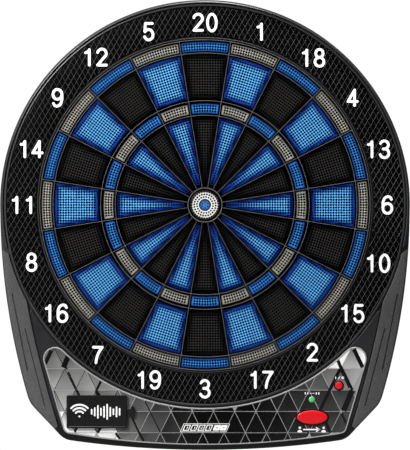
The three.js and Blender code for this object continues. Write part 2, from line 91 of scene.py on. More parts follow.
# Target
NUMBERS = [20, 1, 18, 4, 13, 6, 10, 15, 2, 17, 3, 19, 7, 16, 8, 11, 14, 9, 12, 5]
SECTOR = 360 / len(NUMBERS)
PAD_BANDS = {
    "inner_single": (25.0, 104.7),
    "triple": (109.3, 121.2),
    "outer_single": (127.6, 179.2),
    "double": (183.2, 194.8),
}
SLIM_BAND = 20.0
PAD_SIDE = 1.7
PAD_BACK, PAD_FRONT = depths("segment_20")
HOLE_PITCH = 3.12
HOLE_RADIUS = 1.44
HOLE_SINK = 0.06
HOLE_DEPTH = 5.0
HOLE_EDGE = 0.34
HOLE_LEAST = 0.8
# Painted shade at a pad's edge and down in its holes: (width, fade) for the wide pads and the slim ones.
EDGE_PAINTED_SHADE = (1.4, 8.0)  # the dark rim's width and the reach of its fade
SLIM_PAINTED_SHADE = (0.4, 2.6)
BULL_FACE = 17.9
BULL_BORE = 7.2
BULL_EYE = 6.5
BULL_RINGS = ((9.6, 20), (12.75, 26), (15.9, 33))  # the outer bull's rings of holes: radius and count
WEB_BACK, WEB_FRONT = depths("divider_web")
WEB_RINGS = (107.0, 124.4, 181.2)
WEB_OUTER = sides("divider_web")[1]
WEB_SPOKE = ((21.5, 0.8), (197.0, 1.0))  # a spoke's ends: radius and share of the full width
RING_INNER = 201.4
RING_OUTER = sides("number_ring")[1]
RING_FRONT = depths("number_ring")[1] - 0.5
NUMERAL_RADIUS = 217.4
NUMERAL_STROKE = 3.2

# Housing and trim
TARGET_HOLE = 201.0
SEAM = depths("front_skirt")[0]
FACE = 31.2
DECK = 33.2
DECK_CLEAR = 240.7
RIM_END = 102.0
INNER_RIM = 34.4
OUTER_RIM = 35.6
WING_CLEAR = 241.2
TRIM_BACK, WING_FRONT = depths("side_wing_left")
PANEL_FRONT = depths("control_panel")[1]

# Stage
VIEW_HEIGHT = 0.5364
FLOOR_DROP = 0.06
FLOOR_RADIUS = 1.1
FLOOR_FADE = (0.42, 0.8)
WHITE = 1.05  # the strength at which a plain surface is pure white in the picture


# ---- flat geometry


def towards(angle):
    """The unit vector, or an array of them, at an angle or angles."""
    return np.stack([np.cos(angle), np.sin(angle)], axis=-1)


def length(vector):
    return np.linalg.norm(vector, axis=-1)


def unit(vector):
    return vector / length(vector)


def square_to(vector):
    return np.stack([-vector[..., 1], vector[..., 0]], axis=-1)


def arc(cx, cz, radius, start, end, steps):
    return (cx, cz) + radius * towards(np.linspace(start, end, steps + 1))


def bow(cx, cz, half_wide, half_tall, start, end, steps=18):
    """A stretch of an ellipse, with its angles in degrees."""
    return (cx, cz) + towards(np.radians(np.linspace(start, end, steps + 1))) * (half_wide, half_tall)


def line(*points):
    return np.array(points)


def dot(x, z):
    """A line so short that a round-ended stroke along it is a dot."""
    return line((x, z), (x + 0.02, z))


def circle(radius, steps, cx=0.0, cz=0.0):
    return arc(cx, cz, radius, 0, 2 * math.pi, steps)[:-1]


def octagon(radius, cx, cz):
    """A small round hole's outline, with its flats towards its neighbours."""
    return arc(cx, cz, radius, math.pi / 8, math.pi * 17 / 8, 8)[:-1]


def ellipse(cx, cz, half_wide, half_tall, steps):
    return circle(1, steps) * (half_wide, half_tall) + (cx, cz)


def capsule(p, q, width, steps):
    """A stroke from p to q with round ends."""
    angle = math.atan2(q[1] - p[1], q[0] - p[0])
    quarter = math.pi / 2
    end = arc(*q, width / 2, angle - quarter, angle + quarter, steps)
    return np.concatenate([end, arc(*p, width / 2, angle + quarter, angle + 3 * quarter, steps)])


def mirrored(points):
    return (points * (-1, 1))[::-1]


def joined(*parts, nearest=1e-4):
    """Chains stretches of points, dropping a point that repeats the one before it."""
    points = np.concatenate([np.atleast_2d(p) for p in parts])
    kept = [points[0]]
    for point in points[1:]:
        if length(point - kept[-1]) > nearest:
            kept.append(point)
    if length(kept[0] - kept[-1]) <= nearest:
        kept.pop()
    return np.array(kept)


def quadratic(a, b, c, steps):
    t = np.linspace(0, 1, steps + 1)[:, None]
    return (1 - t) ** 2 * a + 2 * t * (1 - t) * b + t**2 * c


def rounded_corner(before, corner, after, setback, steps=6):
    start, end = (corner + unit(p - corner) * setback for p in (before, after))
    return quadratic(start, corner, end, steps)


def rounded_box(x0, x1, z0, z1, radius, steps=5):
    low_x, high_x, low_z, high_z = x0 + radius, x1 - radius, z0 + radius, z1 - radius
    corners = [(high_x, low_z), (high_x, high_z), (low_x, high_z), (low_x, low_z)]
    turns = [math.radians(90 * k - 90) for k in range(5)]
    return joined(*(arc(*corners[k], radius, turns[k], turns[k + 1], steps) for k in range(4)))


def offset(points, inset):
    """The closed outline moved in by inset (out where it is negative), with mitred corners."""
    if inset == 0:
        return points
    ahead = np.roll(points, -1, axis=0) - points
    square = square_to(ahead / length(ahead)[:, None])
    inward = square + np.roll(square, 1, axis=0)
    inward /= length(inward)[:, None]
    mitre = np.clip((inward * square).sum(axis=1), 0.45, 1)
    return points + inward * (inset / mitre)[:, None]


def polygon_area(points):
    x, z = points[:, 0], points[:, 1]
    return 0.5 * float(np.dot(x, np.roll(z, -1)) - np.dot(z, np.roll(x, -1)))


def fill(outer, holes):
    """Triangles of a flat outline with holes."""
    loops = [outer, *holes]
    points = np.concatenate(loops)
    starts = np.cumsum([0] + [len(loop) for loop in loops])
    faces = [list(range(a, b)) for a, b in zip(starts, starts[1:])]
    _, _, triangles, origins, _, inside = delaunay_2d_cdt([tuple(p) for p in points], [], faces, 1, 1e-6)
    index = [o[0] if o else len(points) for o in origins]
    if max(index) >= len(points):
        raise ValueError("an outline crosses itself")
    return [[index[v] for v in t] for t, f in zip(triangles, inside) if set(f) == {0}]


def shared_outline(one, other):
    """The outline of the area that two outlines share, or None where they don't meet."""
    points = [tuple(p) for p in (*one, *other)]
    faces = [list(range(len(one))), list(range(len(one), len(points)))]
    out, _, triangles, _, _, covered = delaunay_2d_cdt(points, [], faces, 1, 1e-5)
    edges = set()
    for triangle, by in zip(triangles, covered):
        if set(by) == {0, 1}:
            edges |= set(zip(triangle, (*triangle[1:], triangle[0])))
    ahead = {a: b for a, b in edges if (b, a) not in edges}
    best = None
    while ahead:
        start, at = ahead.popitem()
        loop = [start]
        while at != start and at in ahead:
            loop.append(at)
            at = ahead.pop(at)
        loop = np.array([tuple(out[v]) for v in loop])
        if len(loop) > 2 and (best is None or polygon_area(loop) > polygon_area(best)):
            best = loop
    return best


def silhouette(inset):
    """The whole board's outline, moved in by inset, anticlockwise from the bottom's middle."""
    side = np.array([RIM_RADIUS - SIDE_RADIUS, 0.0])
    base = np.array([0.0, BOTTOM_Z + BOTTOM_RADIUS])
    low = chamfer_crossing(base, BOTTOM_RADIUS - inset, inset, -1)
    high = chamfer_crossing(side, SIDE_RADIUS - inset, inset, 1)
    low_angle = math.atan2(*(low - base)[::-1])
    high_angle = math.atan2(*(high - side)[::-1])
    floor = arc(*base, BOTTOM_RADIUS - inset, -math.pi / 2, low_angle, 24)
    flank = arc(*side, SIDE_RADIUS - inset, high_angle, 0, 36)
    floor = floor[length(floor - low) > CORNER_SETBACK * 1.05]
    flank = flank[length(flank - high) > CORNER_SETBACK * 1.05]
    low_corner = rounded_corner(floor[-1], low, high, CORNER_SETBACK)
    high_corner = rounded_corner(low, high, flank[0], CORNER_SETBACK)
    right_half = joined(floor, low_corner, high_corner, flank)
    rim = arc(0, 0, RIM_RADIUS - inset, 0, math.pi, 140)
    return joined(right_half, rim, mirrored(right_half)[:-1])


def chamfer_crossing(centre, radius, inset, side):
    """Where an arc of the outline meets the cut-off corner's straight line."""
    reach = CHAMFER_REACH - inset - CHAMFER_NORMAL @ centre
    half = math.sqrt(radius**2 - reach**2)
    return centre + CHAMFER_NORMAL * reach + square_to(CHAMFER_NORMAL) * side * half


# ---- meshes


class Solid:
    """Collects points (x, depth, z) in millimetres and faces, then makes one object of them."""

    def __init__(self):
        self.points, self.faces, self.count = [], [], 0

    def add(self, flat, depth):
        depth = np.broadcast_to(np.asarray(depth, float), (len(flat),))
        self.points.append(np.stack([flat[:, 0], depth, flat[:, 1]], axis=1))
        self.count += len(flat)
        return self.count - len(flat)

    def wall(self, a, b, size, inward=False):
        """Quads between two closed rings of the same size; a lies behind b."""
        for i in range(size):
            j = (i + 1) % size
            self.faces.append((a + j, a + i, b + i, b + j) if inward else (a + i, a + j, b + j, b + i))

    def stack(self, rings, inward=False):
        """Walls between rings (points, depth), from back to front. Gives the first and last rings' starts."""
        starts = [self.add(points, depth) for points, depth in rings]
        for a, b in zip(starts, starts[1:]):
            self.wall(a, b, len(rings[0][0]), inward)
        return starts[0], starts[-1]

    def cap(self, outer, holes, facing_front):
        """A flat face; outer and holes are (start, points) of rings that are already there."""
        triangles = fill(outer[1], [points for _, points in holes])
        index = np.concatenate([np.arange(start, start + len(points)) for start, points in [outer, *holes]])
        for t in triangles:
            corner = [int(index[v]) for v in t]
            self.faces.append(corner if facing_front else corner[::-1])

    def lids(self, low, high, size):
        """Closes both ends of a stack of convex rings."""
        self.faces.append(tuple(range(high, high + size)))
        self.faces.append(tuple(range(low, low + size))[::-1])

    def plate(self, outline, profile, holes=(), pockets=()):
        """A plate with a shaped edge, given as (inset, depth). A hole is (outline, profile) through it, with
        inset growing the hole; a pocket is the same from its floor up to the face."""
        rings = [(offset(outline, inset), depth) for inset, depth in profile]
        low, high = self.stack(rings)
        back_holes, front_holes = [], []
        for k, (loop, rises) in enumerate([*holes, *pockets]):
            walls = [(offset(loop, -grow), depth) for grow, depth in rises]
            start, end = self.stack(walls, inward=True)
            front_holes.append((end, walls[-1][0]))
            if k < len(holes):
                back_holes.append((start, walls[0][0]))
            else:
                self.cap((start, walls[0][0]), [], True)
        self.cap((high, rings[-1][0]), front_holes, True)
        self.cap((low, rings[0][0]), back_holes, False)

    def turned(self, profile, start=0.0, end=360.0, steps=180):
        """A closed profile of (radius, depth) points swept about the bull's axis, angles in degrees."""
        full = end - start >= 360
        angles = np.radians(np.linspace(start, end, steps + 1))[: steps if full else None]
        profile = np.asarray(profile, float)
        rings = [self.add(profile[:, :1] * towards(a), profile[:, 1]) for a in angles]
        following = rings[1:] + rings[:1] if full else rings[1:]
        for a, b in zip(rings, following):
            self.wall(a, b, len(profile))
        if not full:
            self.lids(rings[0], rings[-1], len(profile))

    def prism(self, polygon, depth_back, depth_front):
        self.lids(*self.stack([(polygon, depth_back), (polygon, depth_front)]), len(polygon))

    def domed(self, outline, middle, rings):
        """A convex outline that shrinks towards its middle; the rings are (share, depth)."""
        stacked = [(middle + (outline - middle) * share, depth) for share, depth in rings]
        self.lids(*self.stack(stacked), len(outline))

    def strokes(self, lines, width, depth_back, depth_front):
        """The union of round-ended strokes along the lines, as one raised shape."""
        points, faces = [], []
        for stroke in lines:
            for p, q in zip(stroke, stroke[1:]):
                outline = capsule(p, q, width, 8)
                faces.append(list(range(len(points), len(points) + len(outline))))
                points += [tuple(c) for c in outline]
        out, _, triangles, _, _, covered = delaunay_2d_cdt(points, [], faces, 1, 1e-5)
        flat = np.array([tuple(v) for v in out])
        high = self.add(flat, depth_front)
        low = self.add(flat, depth_back)
        edges = {}
        for t in (list(t) for t, by in zip(triangles, covered) if by):
            self.faces += [[high + v for v in t], [low + v for v in t[::-1]]]
            edges.update(dict.fromkeys(zip(t, t[1:] + t[:1])))
        self.faces += [(low + a, low + b, high + b, high + a) for a, b in edges if (b, a) not in edges]

    def object(self, name, material, smooth=35.0):
        points = np.concatenate(self.points) * MM
        mesh = bpy.data.meshes.new(name)
        mesh.from_pydata((points * (1, -1, 1)).tolist(), [], self.faces)
        outward_normals(mesh)
        mesh.materials.append(material)
        if smooth:
            mesh.shade_smooth()
            mesh.set_sharp_from_angle(angle=math.radians(smooth))
        return linked(name, mesh)

    def fix(self, name, material, slot, *replaces, smooth=35.0):
        """Makes the object a piece of the board's own body."""
        put(self.object(name, material, smooth), "board", slot, replaces)


def outward_normals(mesh):
    work = bmesh.new()
    work.from_mesh(mesh)
    bmesh.ops.recalc_face_normals(work, faces=work.faces)
    work.to_mesh(mesh)
    work.free()


def linked(name, data):
    obj = bpy.data.objects.new(name, data)
    bpy.context.scene.collection.objects.link(obj)
    return obj


def put(obj, body, slot, replaces=()):
    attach(obj, body)
    if replaces:
        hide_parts(*replaces)


def below(face, *steps):
    """A profile's stretch from (inset, drop) pairs, with the drop measured from the face."""
    return [(inset, face - drop) for inset, drop in steps]


# ---- materials


def feed(tree, target, inputs):
    """Gives each named input a value, or a link from another node's output."""
    for name, value in inputs.items():
        if isinstance(value, bpy.types.NodeSocket):
            tree.links.new(value, target.inputs[name])
        else:
            target.inputs[name].default_value = value


def node(tree, kind, inputs, output=0, **settings):
    """Adds a shader node and gives its named or numbered output."""
    new = tree.nodes.new("ShaderNode" + kind)
    for name, value in settings.items():
        setattr(new, name, value)
    feed(tree, new, inputs)
    return new.outputs[output]


def new_look(name):
    """A new material, its node tree and its principled shader."""
    look = bpy.data.materials.new("look_" + name)
    look.use_nodes = True
    return look, look.node_tree, look.node_tree.nodes["Principled BSDF"]


def object_point(tree):
    return node(tree, "TexCoord", {}, "Object")


def noise(tree, scale, detail):
    return node(tree, "TexNoise", {"Scale": scale, "Detail": detail, "Vector": object_point(tree)})


def ramp(tree, value, *stops):
    """Colours by value; a stop is (position, colour), with one number for a grey."""
    new = tree.nodes.new("ShaderNodeValToRGB")
    elements = new.color_ramp.elements
    while len(elements) < len(stops):
        elements.new(0.5)
    for element, (position, colour) in zip(elements, stops):
        element.position = position
        element.color = (*np.broadcast_to(colour, 3), 1)
    tree.links.new(value, new.inputs["Fac"])
    return new.outputs["Color"]


def patches(tree, scale, detail, low, high, edges=(0.3, 0.7)):
    """Soft patches of two colours."""
    return ramp(tree, noise(tree, scale, detail), (edges[0], low), (edges[1], high))


def uneven(tree, scale, detail, low, high):
    """A value that drifts between low and high."""
    ends = {"From Min": 0.3, "From Max": 0.7, "To Min": low, "To Max": high}
    return node(tree, "MapRange", {"Value": noise(tree, scale, detail), **ends})


def grain(tree, scale, strength, height):
    """A fine moulded grain, as a normal."""
    return node(tree, "Bump", {"Strength": strength, "Distance": height, "Height": noise(tree, scale, 2)})


def times(tree, one, other):
    """Two colours multiplied."""
    mixed = {"Factor": 1.0, "A": one, "B": other}
    return node(tree, "Mix", mixed, "Result", data_type="RGBA", blend_type="MULTIPLY")


def along_axis(tree, axis, start, end):
    """0 at the start and 1 at the end of a stretch along an axis."""
    place = node(tree, "SeparateXYZ", {0: object_point(tree)}, axis)
    return node(tree, "MapRange", {"From Min": start * MM, "From Max": end * MM, "Value": place})


def plastic(
    name, dark, light, roughness, relief=0.25, scale=1800, patch=14, gloss=0.4, coat=0, speckle=0, fade=None
):
    """Moulded plastic: two close tones in soft patches, uneven gloss and a fine spark-eroded grain. A fade is
    (low, high, share) in z, painted shade: the tone falls to the share below low."""
    look, tree, shader = new_look(name)
    tone = patches(tree, patch, 4, dark, light)
    if speckle:
        tone = times(tree, tone, patches(tree, 520, 3, 1 - speckle, 1.0, (0.38, 0.62)))
    if fade:
        # Painted shade: the tone darkens towards the bottom.
        low, high, share = fade
        tone = times(tree, tone, ramp(tree, along_axis(tree, "Z", low, high), (0.0, share), (1.0, 1.0)))
    feed(tree, shader, {
        "Base Color": tone,
        "Roughness": uneven(tree, patch * 3, 5, *roughness),
        "Normal": grain(tree, scale, relief, 0.00006),
        "Specular IOR Level": gloss,
        "Coat Weight": coat,
        "Coat Roughness": 0.08,
    })
    return look


def pad_plastic(name, rim, middle, bright, gloss=0.2):
    """Perforated pads, with painted shade: dark at the pad's edge, brighter towards its middle, and darker
    down in the holes.
    """
    look, tree, shader = new_look(name)
    inner = node(tree, "Attribute", {}, "Fac", attribute_name="inner")
    # The rim tone is painted shade at the pad's edge and down in the holes; further in, the pad's own colour.
    tone = ramp(tree, inner, (0.0, rim), (0.2, middle), (0.85, bright))
    feed(tree, shader, {
        "Base Color": times(tree, tone, patches(tree, 60, 3, 0.86, 1.0)),
        "Roughness": uneven(tree, 90, 3, 0.3, 0.4),
        "Normal": grain(tree, 2200, 0.15, 0.00004),
        "Specular IOR Level": gloss,
    })
    return look


def steel():
    """Zinc-plated steel for the screws and the battery contacts."""
    look, tree, shader = new_look("zinc_steel")
    tone = np.array([0.55, 0.56, 0.58])
    feed(tree, shader, {
        "Base Color": patches(tree, 300, 4, tone * 0.8, tone),
        "Roughness": uneven(tree, 500, 4, 0.25, 0.4),
        "Metallic": 1.0,
    })
    return look


def web_plastic():
    """The divider web in black plastic: painted shade on the flanks and a painted highlight in lighter grey
    along the crests.
    """
    look, tree, shader = new_look("web_black")
    # Painted highlight on the crests and painted shade on the flanks, set by depth.
    crest = along_axis(tree, "Y", 0.5 - WEB_FRONT, -WEB_FRONT)
    stops = [(0.0, (0.002, 0.002, 0.0022)), (0.5, (0.014, 0.0138, 0.0136)), (0.95, (0.17, 0.165, 0.163))]
    feed(tree, shader, {
        "Base Color": ramp(tree, crest, *stops),
        "Roughness": uneven(tree, 200, 4, 0.32, 0.5),
        "Normal": grain(tree, 1500, 0.2, 0.00005),
    })
    return look


def tile_gloss():
    """The panel's printed tiles under a clear gloss: each tile's own tone, which is the print's grey with a
    painted reflection on the left part, and a soft metallic drift.
    """
    look, tree, shader = new_look("panel_tiles")
    tone = node(tree, "Attribute", {}, "Color", attribute_name="tone")
    feed(tree, shader, {
        "Base Color": times(tree, tone, patches(tree, 45, 2, 0.82, 1.0)),
        "Roughness": uneven(tree, 120, 3, 0.22, 0.32),
        "Specular IOR Level": 0.1,
        "Coat Weight": 0.07,
        "Coat Roughness": 0.05,
    })
    return look


MOULDED = (0.28, 0.36)
SATIN = (0.3, 0.4)
POLISHED = (0.2, 0.3)
SHELL_TONES = ((0.015, 0.0153, 0.0165), (0.024, 0.0243, 0.026), MOULDED)
SHELL = plastic("dark_shell", *SHELL_TONES, speckle=0.35)
# The lower deck's shell with painted shade, darker towards the board's bottom edge.
DECK_SHELL = plastic("deck_shell", *SHELL_TONES, gloss=0.3, speckle=0.35, fade=(-276, -240, 0.15))
RIM = plastic("rim_grey", (0.024, 0.024, 0.0245), (0.034, 0.034, 0.0345), (0.26, 0.34), gloss=0.55)
WING_GREY = plastic("wing_grey", (0.06, 0.06, 0.0615), (0.08, 0.08, 0.081), MOULDED, speckle=0.3)
RING_BLACK = plastic("ring_black", 0.0006, 0.0012, SATIN, 0.1, gloss=0.05)
# One plastic twice: painted light on the ribs that lean right, painted shade on those that lean left.
HATCH_LIT_RIGHT = plastic("hatch_right_painted_light", 0.09, (0.14, 0.139, 0.138), SATIN)
HATCH_SHADED_LEFT = plastic("hatch_left_painted_shade", 0.05, (0.08, 0.079, 0.078), SATIN)
NUMERAL_WHITE = plastic("numeral_white", (0.86, 0.86, 0.85), 0.9, (0.35, 0.45), 0.05)
WEB = web_plastic()
PAD_BLUE = pad_plastic("pad_blue", (0.0008, 0.009, 0.1), (0.004, 0.055, 0.36), (0.125, 0.485, 1.0))
PAD_BLACK = pad_plastic("pad_black", 0.0002, 0.005, (0.029, 0.0275, 0.0265), gloss=0.08)
SLIM_BLUE = pad_plastic("slim_blue", (0.0004, 0.003, 0.025), (0.006, 0.05, 0.26), (0.035, 0.23, 0.66))
SLIM_CREAM = pad_plastic("slim_cream", (0.002, 0.0018, 0.001), (0.16, 0.155, 0.13), (0.4, 0.39, 0.345))
BULL_CREAM = pad_plastic("bull_cream", (0.006, 0.005, 0.004), (0.7, 0.685, 0.64), (0.8, 0.79, 0.76))
BULL_BLUE = pad_plastic("bull_blue", (0.003, 0.012, 0.09), (0.05, 0.19, 0.48), (0.09, 0.28, 0.6))
PANEL_TRIM = plastic("panel_trim", 0.24, (0.34, 0.338, 0.335), POLISHED, 0.05)
SEAM_PRINT = plastic("seam_print", (0.26, 0.26, 0.257), (0.36, 0.36, 0.355), (0.25, 0.35), 0.03)
PANEL_BLACK = plastic("panel_black", 0.002, 0.004, POLISHED, 0.03, gloss=0.3)
TILES = tile_gloss()
RED = plastic("button_red", (0.57, 0.002, 0.006), (0.66, 0.004, 0.01), (0.28, 0.38), 0.1)
COLLAR = plastic("collar_black", (0.0015, 0.0012, 0.0012), (0.003, 0.0025, 0.0025), POLISHED, 0.1, gloss=0.2)
LENS = plastic("led_green", (0.05, 0.36, 0.1), (0.1, 0.52, 0.17), (0.08, 0.14), 0.0, coat=1.0)
MODULE = plastic(
    "module_black", (0.003, 0.003, 0.0033), (0.006, 0.006, 0.0063), (0.26, 0.34), 0.4, scale=1100, gloss=0.25
)
PRINT = plastic("print_white", (0.8, 0.8, 0.79), (0.88, 0.88, 0.87), (0.4, 0.5), 0.03)
RUBBER = plastic("rubber_black", 0.008, 0.014, (0.6, 0.75), 0.4, gloss=0.25)
STEEL = steel()
FILM = plastic("membrane_film", (0.4, 0.34, 0.2), (0.46, 0.4, 0.25), (0.25, 0.35), 0.05)
BOARD = plastic("hardboard", (0.16, 0.085, 0.04), (0.24, 0.13, 0.065), (0.7, 0.85), 0.6, scale=900, patch=60)
CIRCUIT = plastic("solder_mask", (0.01, 0.1, 0.04), (0.016, 0.14, 0.055), SATIN, 0.1, patch=120)
SLEEVE = plastic("cell_sleeve", (0.02, 0.022, 0.026), (0.03, 0.032, 0.036), POLISHED, 0.05, coat=0.4)


# ---- perforated pads


def sector_outline(inner, outer, side):
    """A pad's outline in its own place at the top of the board, anticlockwise, in short steps."""
    parts = []
    middle = math.pi / 2
    for radius, sign in ((inner, 1), (outer, -1)):
        half = math.radians(SECTOR / 2) - math.asin(side / radius)
        steps = max(4, round(2 * half * radius / 3))
        parts.append(arc(0, 0, radius, middle + sign * half, middle - sign * half, steps))
    low_right, high_right = parts[0][-1], parts[1][0]
    count = max(2, round(length(high_right - low_right) / 3))
    up = low_right + (high_right - low_right) * np.linspace(0, 1, count + 1)[1:-1, None]
    return joined(parts[0], up, parts[1], mirrored(up))


def edge_distance(points, outline):
    """How far each point is from the outline's edges."""
    best = np.full(len(points), 1e9)
    for p, q in zip(outline, np.roll(outline, -1, axis=0)):
        along = q - p
        t = np.clip(((points - p) @ along) / (along @ along), 0, 1)
        best = np.minimum(best, length(points - p - t[:, None] * along))
    return best


def is_inside(points, outline):
    inside = np.zeros(len(points), bool)
    for p, q in zip(outline, np.roll(outline, -1, axis=0)):
        crosses = (p[1] > points[:, 1]) != (q[1] > points[:, 1])
        with np.errstate(divide="ignore", invalid="ignore"):
            at = (q[0] - p[0]) * (points[:, 1] - p[1]) / (q[1] - p[1]) + p[0]
        inside ^= crosses & (points[:, 0] < at)
    return inside


def sized_holes(centres, outline):
    """The holes (x, z, radius) that fit inside the outline; those next to its edge are smaller."""
    centres = centres[is_inside(centres, outline)]
    radius = np.minimum(edge_distance(centres, outline) - HOLE_EDGE, HOLE_RADIUS)
    return np.column_stack([centres, radius])[radius >= HOLE_LEAST]


def lattice_holes(outline, middle_radius):
    """A square lattice of holes in line with the pad's own middle line."""
    reach = np.arange(-30, 31) * HOLE_PITCH
    x, z = np.meshgrid(reach, middle_radius + reach)
    return sized_holes(np.stack([x.ravel(), z.ravel()], axis=1), outline)


def curved_holes(outline, middle_radius):
    """Three rows of holes that follow the band's curve."""
    angles = math.pi / 2 + np.arange(-20, 21) * (HOLE_PITCH / middle_radius)
    radii = middle_radius + np.arange(-1, 2) * HOLE_PITCH
    return sized_holes(np.concatenate([radius * towards(angles) for radius in radii]), outline)


def dart_hole(x, z, radius, sink=HOLE_SINK):
    """A countersunk hole for a dart's tip, as a pocket of a pad."""
    return octagon(radius, x, z), below(PAD_FRONT, (0, HOLE_DEPTH), (0, 0.35), (sink, 0))


def perforated(name, outline, holes, material, shade=EDGE_PAINTED_SHADE):
    """A pad with a softly rounded edge and holes (x, z, radius)."""
    solid = Solid()
    profile = [(0, PAD_BACK), *below(PAD_FRONT, (0, 1.3), (0.08, 0.35), (0.22, 0))]
    solid.plate(outline, profile, pockets=[dart_hole(*hole) for hole in holes])
    obj = solid.object(name, material)
    shade_by_edge(obj, outline, shade)
    return obj


def shade_by_edge(obj, outline, shade):
    """Stores how far in from the pad's edge each point lies, for the painted shade: 0 at the edge and in the
    holes, 1 far inside.
    """
    dark, fade = shade
    mesh = obj.data
    flat = np.empty(len(mesh.vertices) * 3)
    mesh.vertices.foreach_get("co", flat)
    flat = flat.reshape(-1, 3) / MM
    inner = np.clip((edge_distance(flat[:, [0, 2]], outline) - dark) / fade, 0, 1)
    # Painted shade down in the holes.
    inner[-flat[:, 1] < PAD_FRONT - 0.3] = 0
    mesh.attributes.new("inner", "FLOAT", "POINT").data.foreach_set("value", inner)


def set_round(first, kind, places, slot, is_pad):
    """Repeats a piece's mesh at the given places round the target, each copy with its own number's pads."""
    for i in places:
        number = f"{NUMBERS[i]:02d}"
        piece = first if i == places[0] else linked(f"{kind}_{number}", first.data)
        piece.rotation_euler = (0, math.radians(i * SECTOR), 0)
        put(piece, f"pads_{number}", slot, [f"segment_{number}"] if is_pad else ())


def make_band(band, outline, holes, kinds, shade):
    """Twenty pads of one band in two colours; those of one colour share a mesh."""
    for odd, (material, slot) in enumerate(kinds):
        first = perforated(f"{band}_{NUMBERS[odd]:02d}", outline, holes, material, shade)
        set_round(first, band, range(odd, len(NUMBERS), 2), slot, True)


def make_pads():
    for band, (inner, outer) in PAD_BANDS.items():
        outline = sector_outline(inner, outer, PAD_SIDE)
        middle = (inner + outer) / 2
        if outer - inner < SLIM_BAND:
            kinds = [(SLIM_BLUE, "pad_blue"), (SLIM_CREAM, "bull_cream")]
            make_band(band, outline, curved_holes(outline, middle), kinds, SLIM_PAINTED_SHADE)
        else:
            kinds = [(PAD_BLACK, "pad_black"), (PAD_BLUE, "pad_blue")]
            make_band(band, outline, lattice_holes(outline, middle), kinds, EDGE_PAINTED_SHADE)


def make_carriers():
    """The thin carriers that join each number's pads behind the divider web."""
    solid = Solid()
    profile = [(0.2, PAD_BACK), (0, PAD_BACK + 0.2), (0, PAD_BACK + 1.7), (0.3, PAD_BACK + 2)]
    solid.plate(sector_outline(24.5, 195.4, 0.5), profile)
    first = solid.object(f"carrier_{NUMBERS[0]:02d}", RUBBER)
    set_round(first, "carrier", range(len(NUMBERS)), "pad_black", False)


def ring_of_holes(radius, count, turn):
    return radius * towards(np.arange(count) * 2 * math.pi / count + turn)


def make_bulls():
    wells = []
    for radius, count in BULL_RINGS:
        turn = radius  # taken as radians, so that each ring starts at another angle
        wells += [dart_hole(x, z, 1.2, 0.1) for x, z in ring_of_holes(radius, count, turn)]
    inner = circle(BULL_BORE, 64)
    face = circle(BULL_FACE, 96)
    ring = Solid()
    profile = [(0, PAD_BACK + 2), *below(PAD_FRONT, (0, 0.6), (0.15, 0.15), (0.45, 0))]
    bore = [(0, PAD_BACK + 2), *below(PAD_FRONT, (0, 0.4), (0.25, 0))]
    ring.plate(face, profile, holes=[(inner, bore)], pockets=wells)
    flange = [(0, PAD_BACK), (0, PAD_BACK + 1.9)]
    ring.plate(circle(sides("outer_bull")[1], 96), flange, holes=[(inner, flange)])
    outer_bull = ring.object("outer_bull_pad", BULL_CREAM)
    shade_by_edge(outer_bull, face, EDGE_PAINTED_SHADE)
    put(outer_bull, "bull_outer", "bull_cream", ["outer_bull"])

    holes = [(x, z, 0.95) for x, z in [(0, 0), *ring_of_holes(3.15, 6, math.radians(30))]]
    eye = perforated("inner_bull_pad", circle(BULL_EYE, 64), holes, BULL_BLUE)
    put(eye, "bull_inner", "pad_blue", ["inner_bull"])


# ---- divider web


def make_web():
    web = Solid()
    f, b = WEB_FRONT, WEB_BACK
    flank = [(1.5, b), *below(f, (0.62, 2.2), (0.27, 0.3), (0.13, 0))]
    section = np.array([(-t, depth) for t, depth in flank] + flank[::-1])
    for radius in WEB_RINGS:
        web.turned(section + (radius, 0))
    crests = below(
        f, (196.3, 1.4), (196.65, 0.2), (196.8, 0), (197.05, 0), (197.3, 0.4), (197.7, 2.0), (198.9, 2.0),
        (199.1, 0.5), (199.3, 0.15), (199.5, 0.15), (WEB_OUTER, 1.1),
    )
    web.turned([(195.6, b), *crests, (WEB_OUTER, b)])
    hub = below(f, (19.75, 0.6), (19.95, 0.1), (20.15, 0), (20.45, 0), (20.7, 0.4), (21.4, 2.6))
    web.turned([(19.7, b), *hub, (23.0, b)], steps=96)
    for i in range(len(NUMBERS)):
        along = towards(math.pi / 2 - math.radians((i + 0.5) * SECTOR))
        across = -square_to(along) * section[:, :1]
        ends = [(along * radius + across * wide, section[:, 1]) for radius, wide in WEB_SPOKE]
        web.lids(*web.stack(ends), len(section))
    web.fix("divider_web_fine", WEB, "web_black", "divider_web")


# ---- numerals and number ring


def curve(points, steps=10):
    """A smooth line through the points."""
    points = np.asarray(points, float)
    padded = np.concatenate([[2 * points[0] - points[1]], points, [2 * points[-1] - points[-2]]])
    t = np.linspace(0, 1, steps, endpoint=False)[:, None]
    parts = []
    for a, b, c, d in zip(padded, padded[1:], padded[2:], padded[3:]):
        bend, twist = 2 * a - 5 * b + 4 * c - d, 3 * b - a - 3 * c + d
        parts.append(0.5 * (2 * b + (c - a) * t + bend * t**2 + twist * t**3))
    return np.concatenate([*parts, points[-1:]])


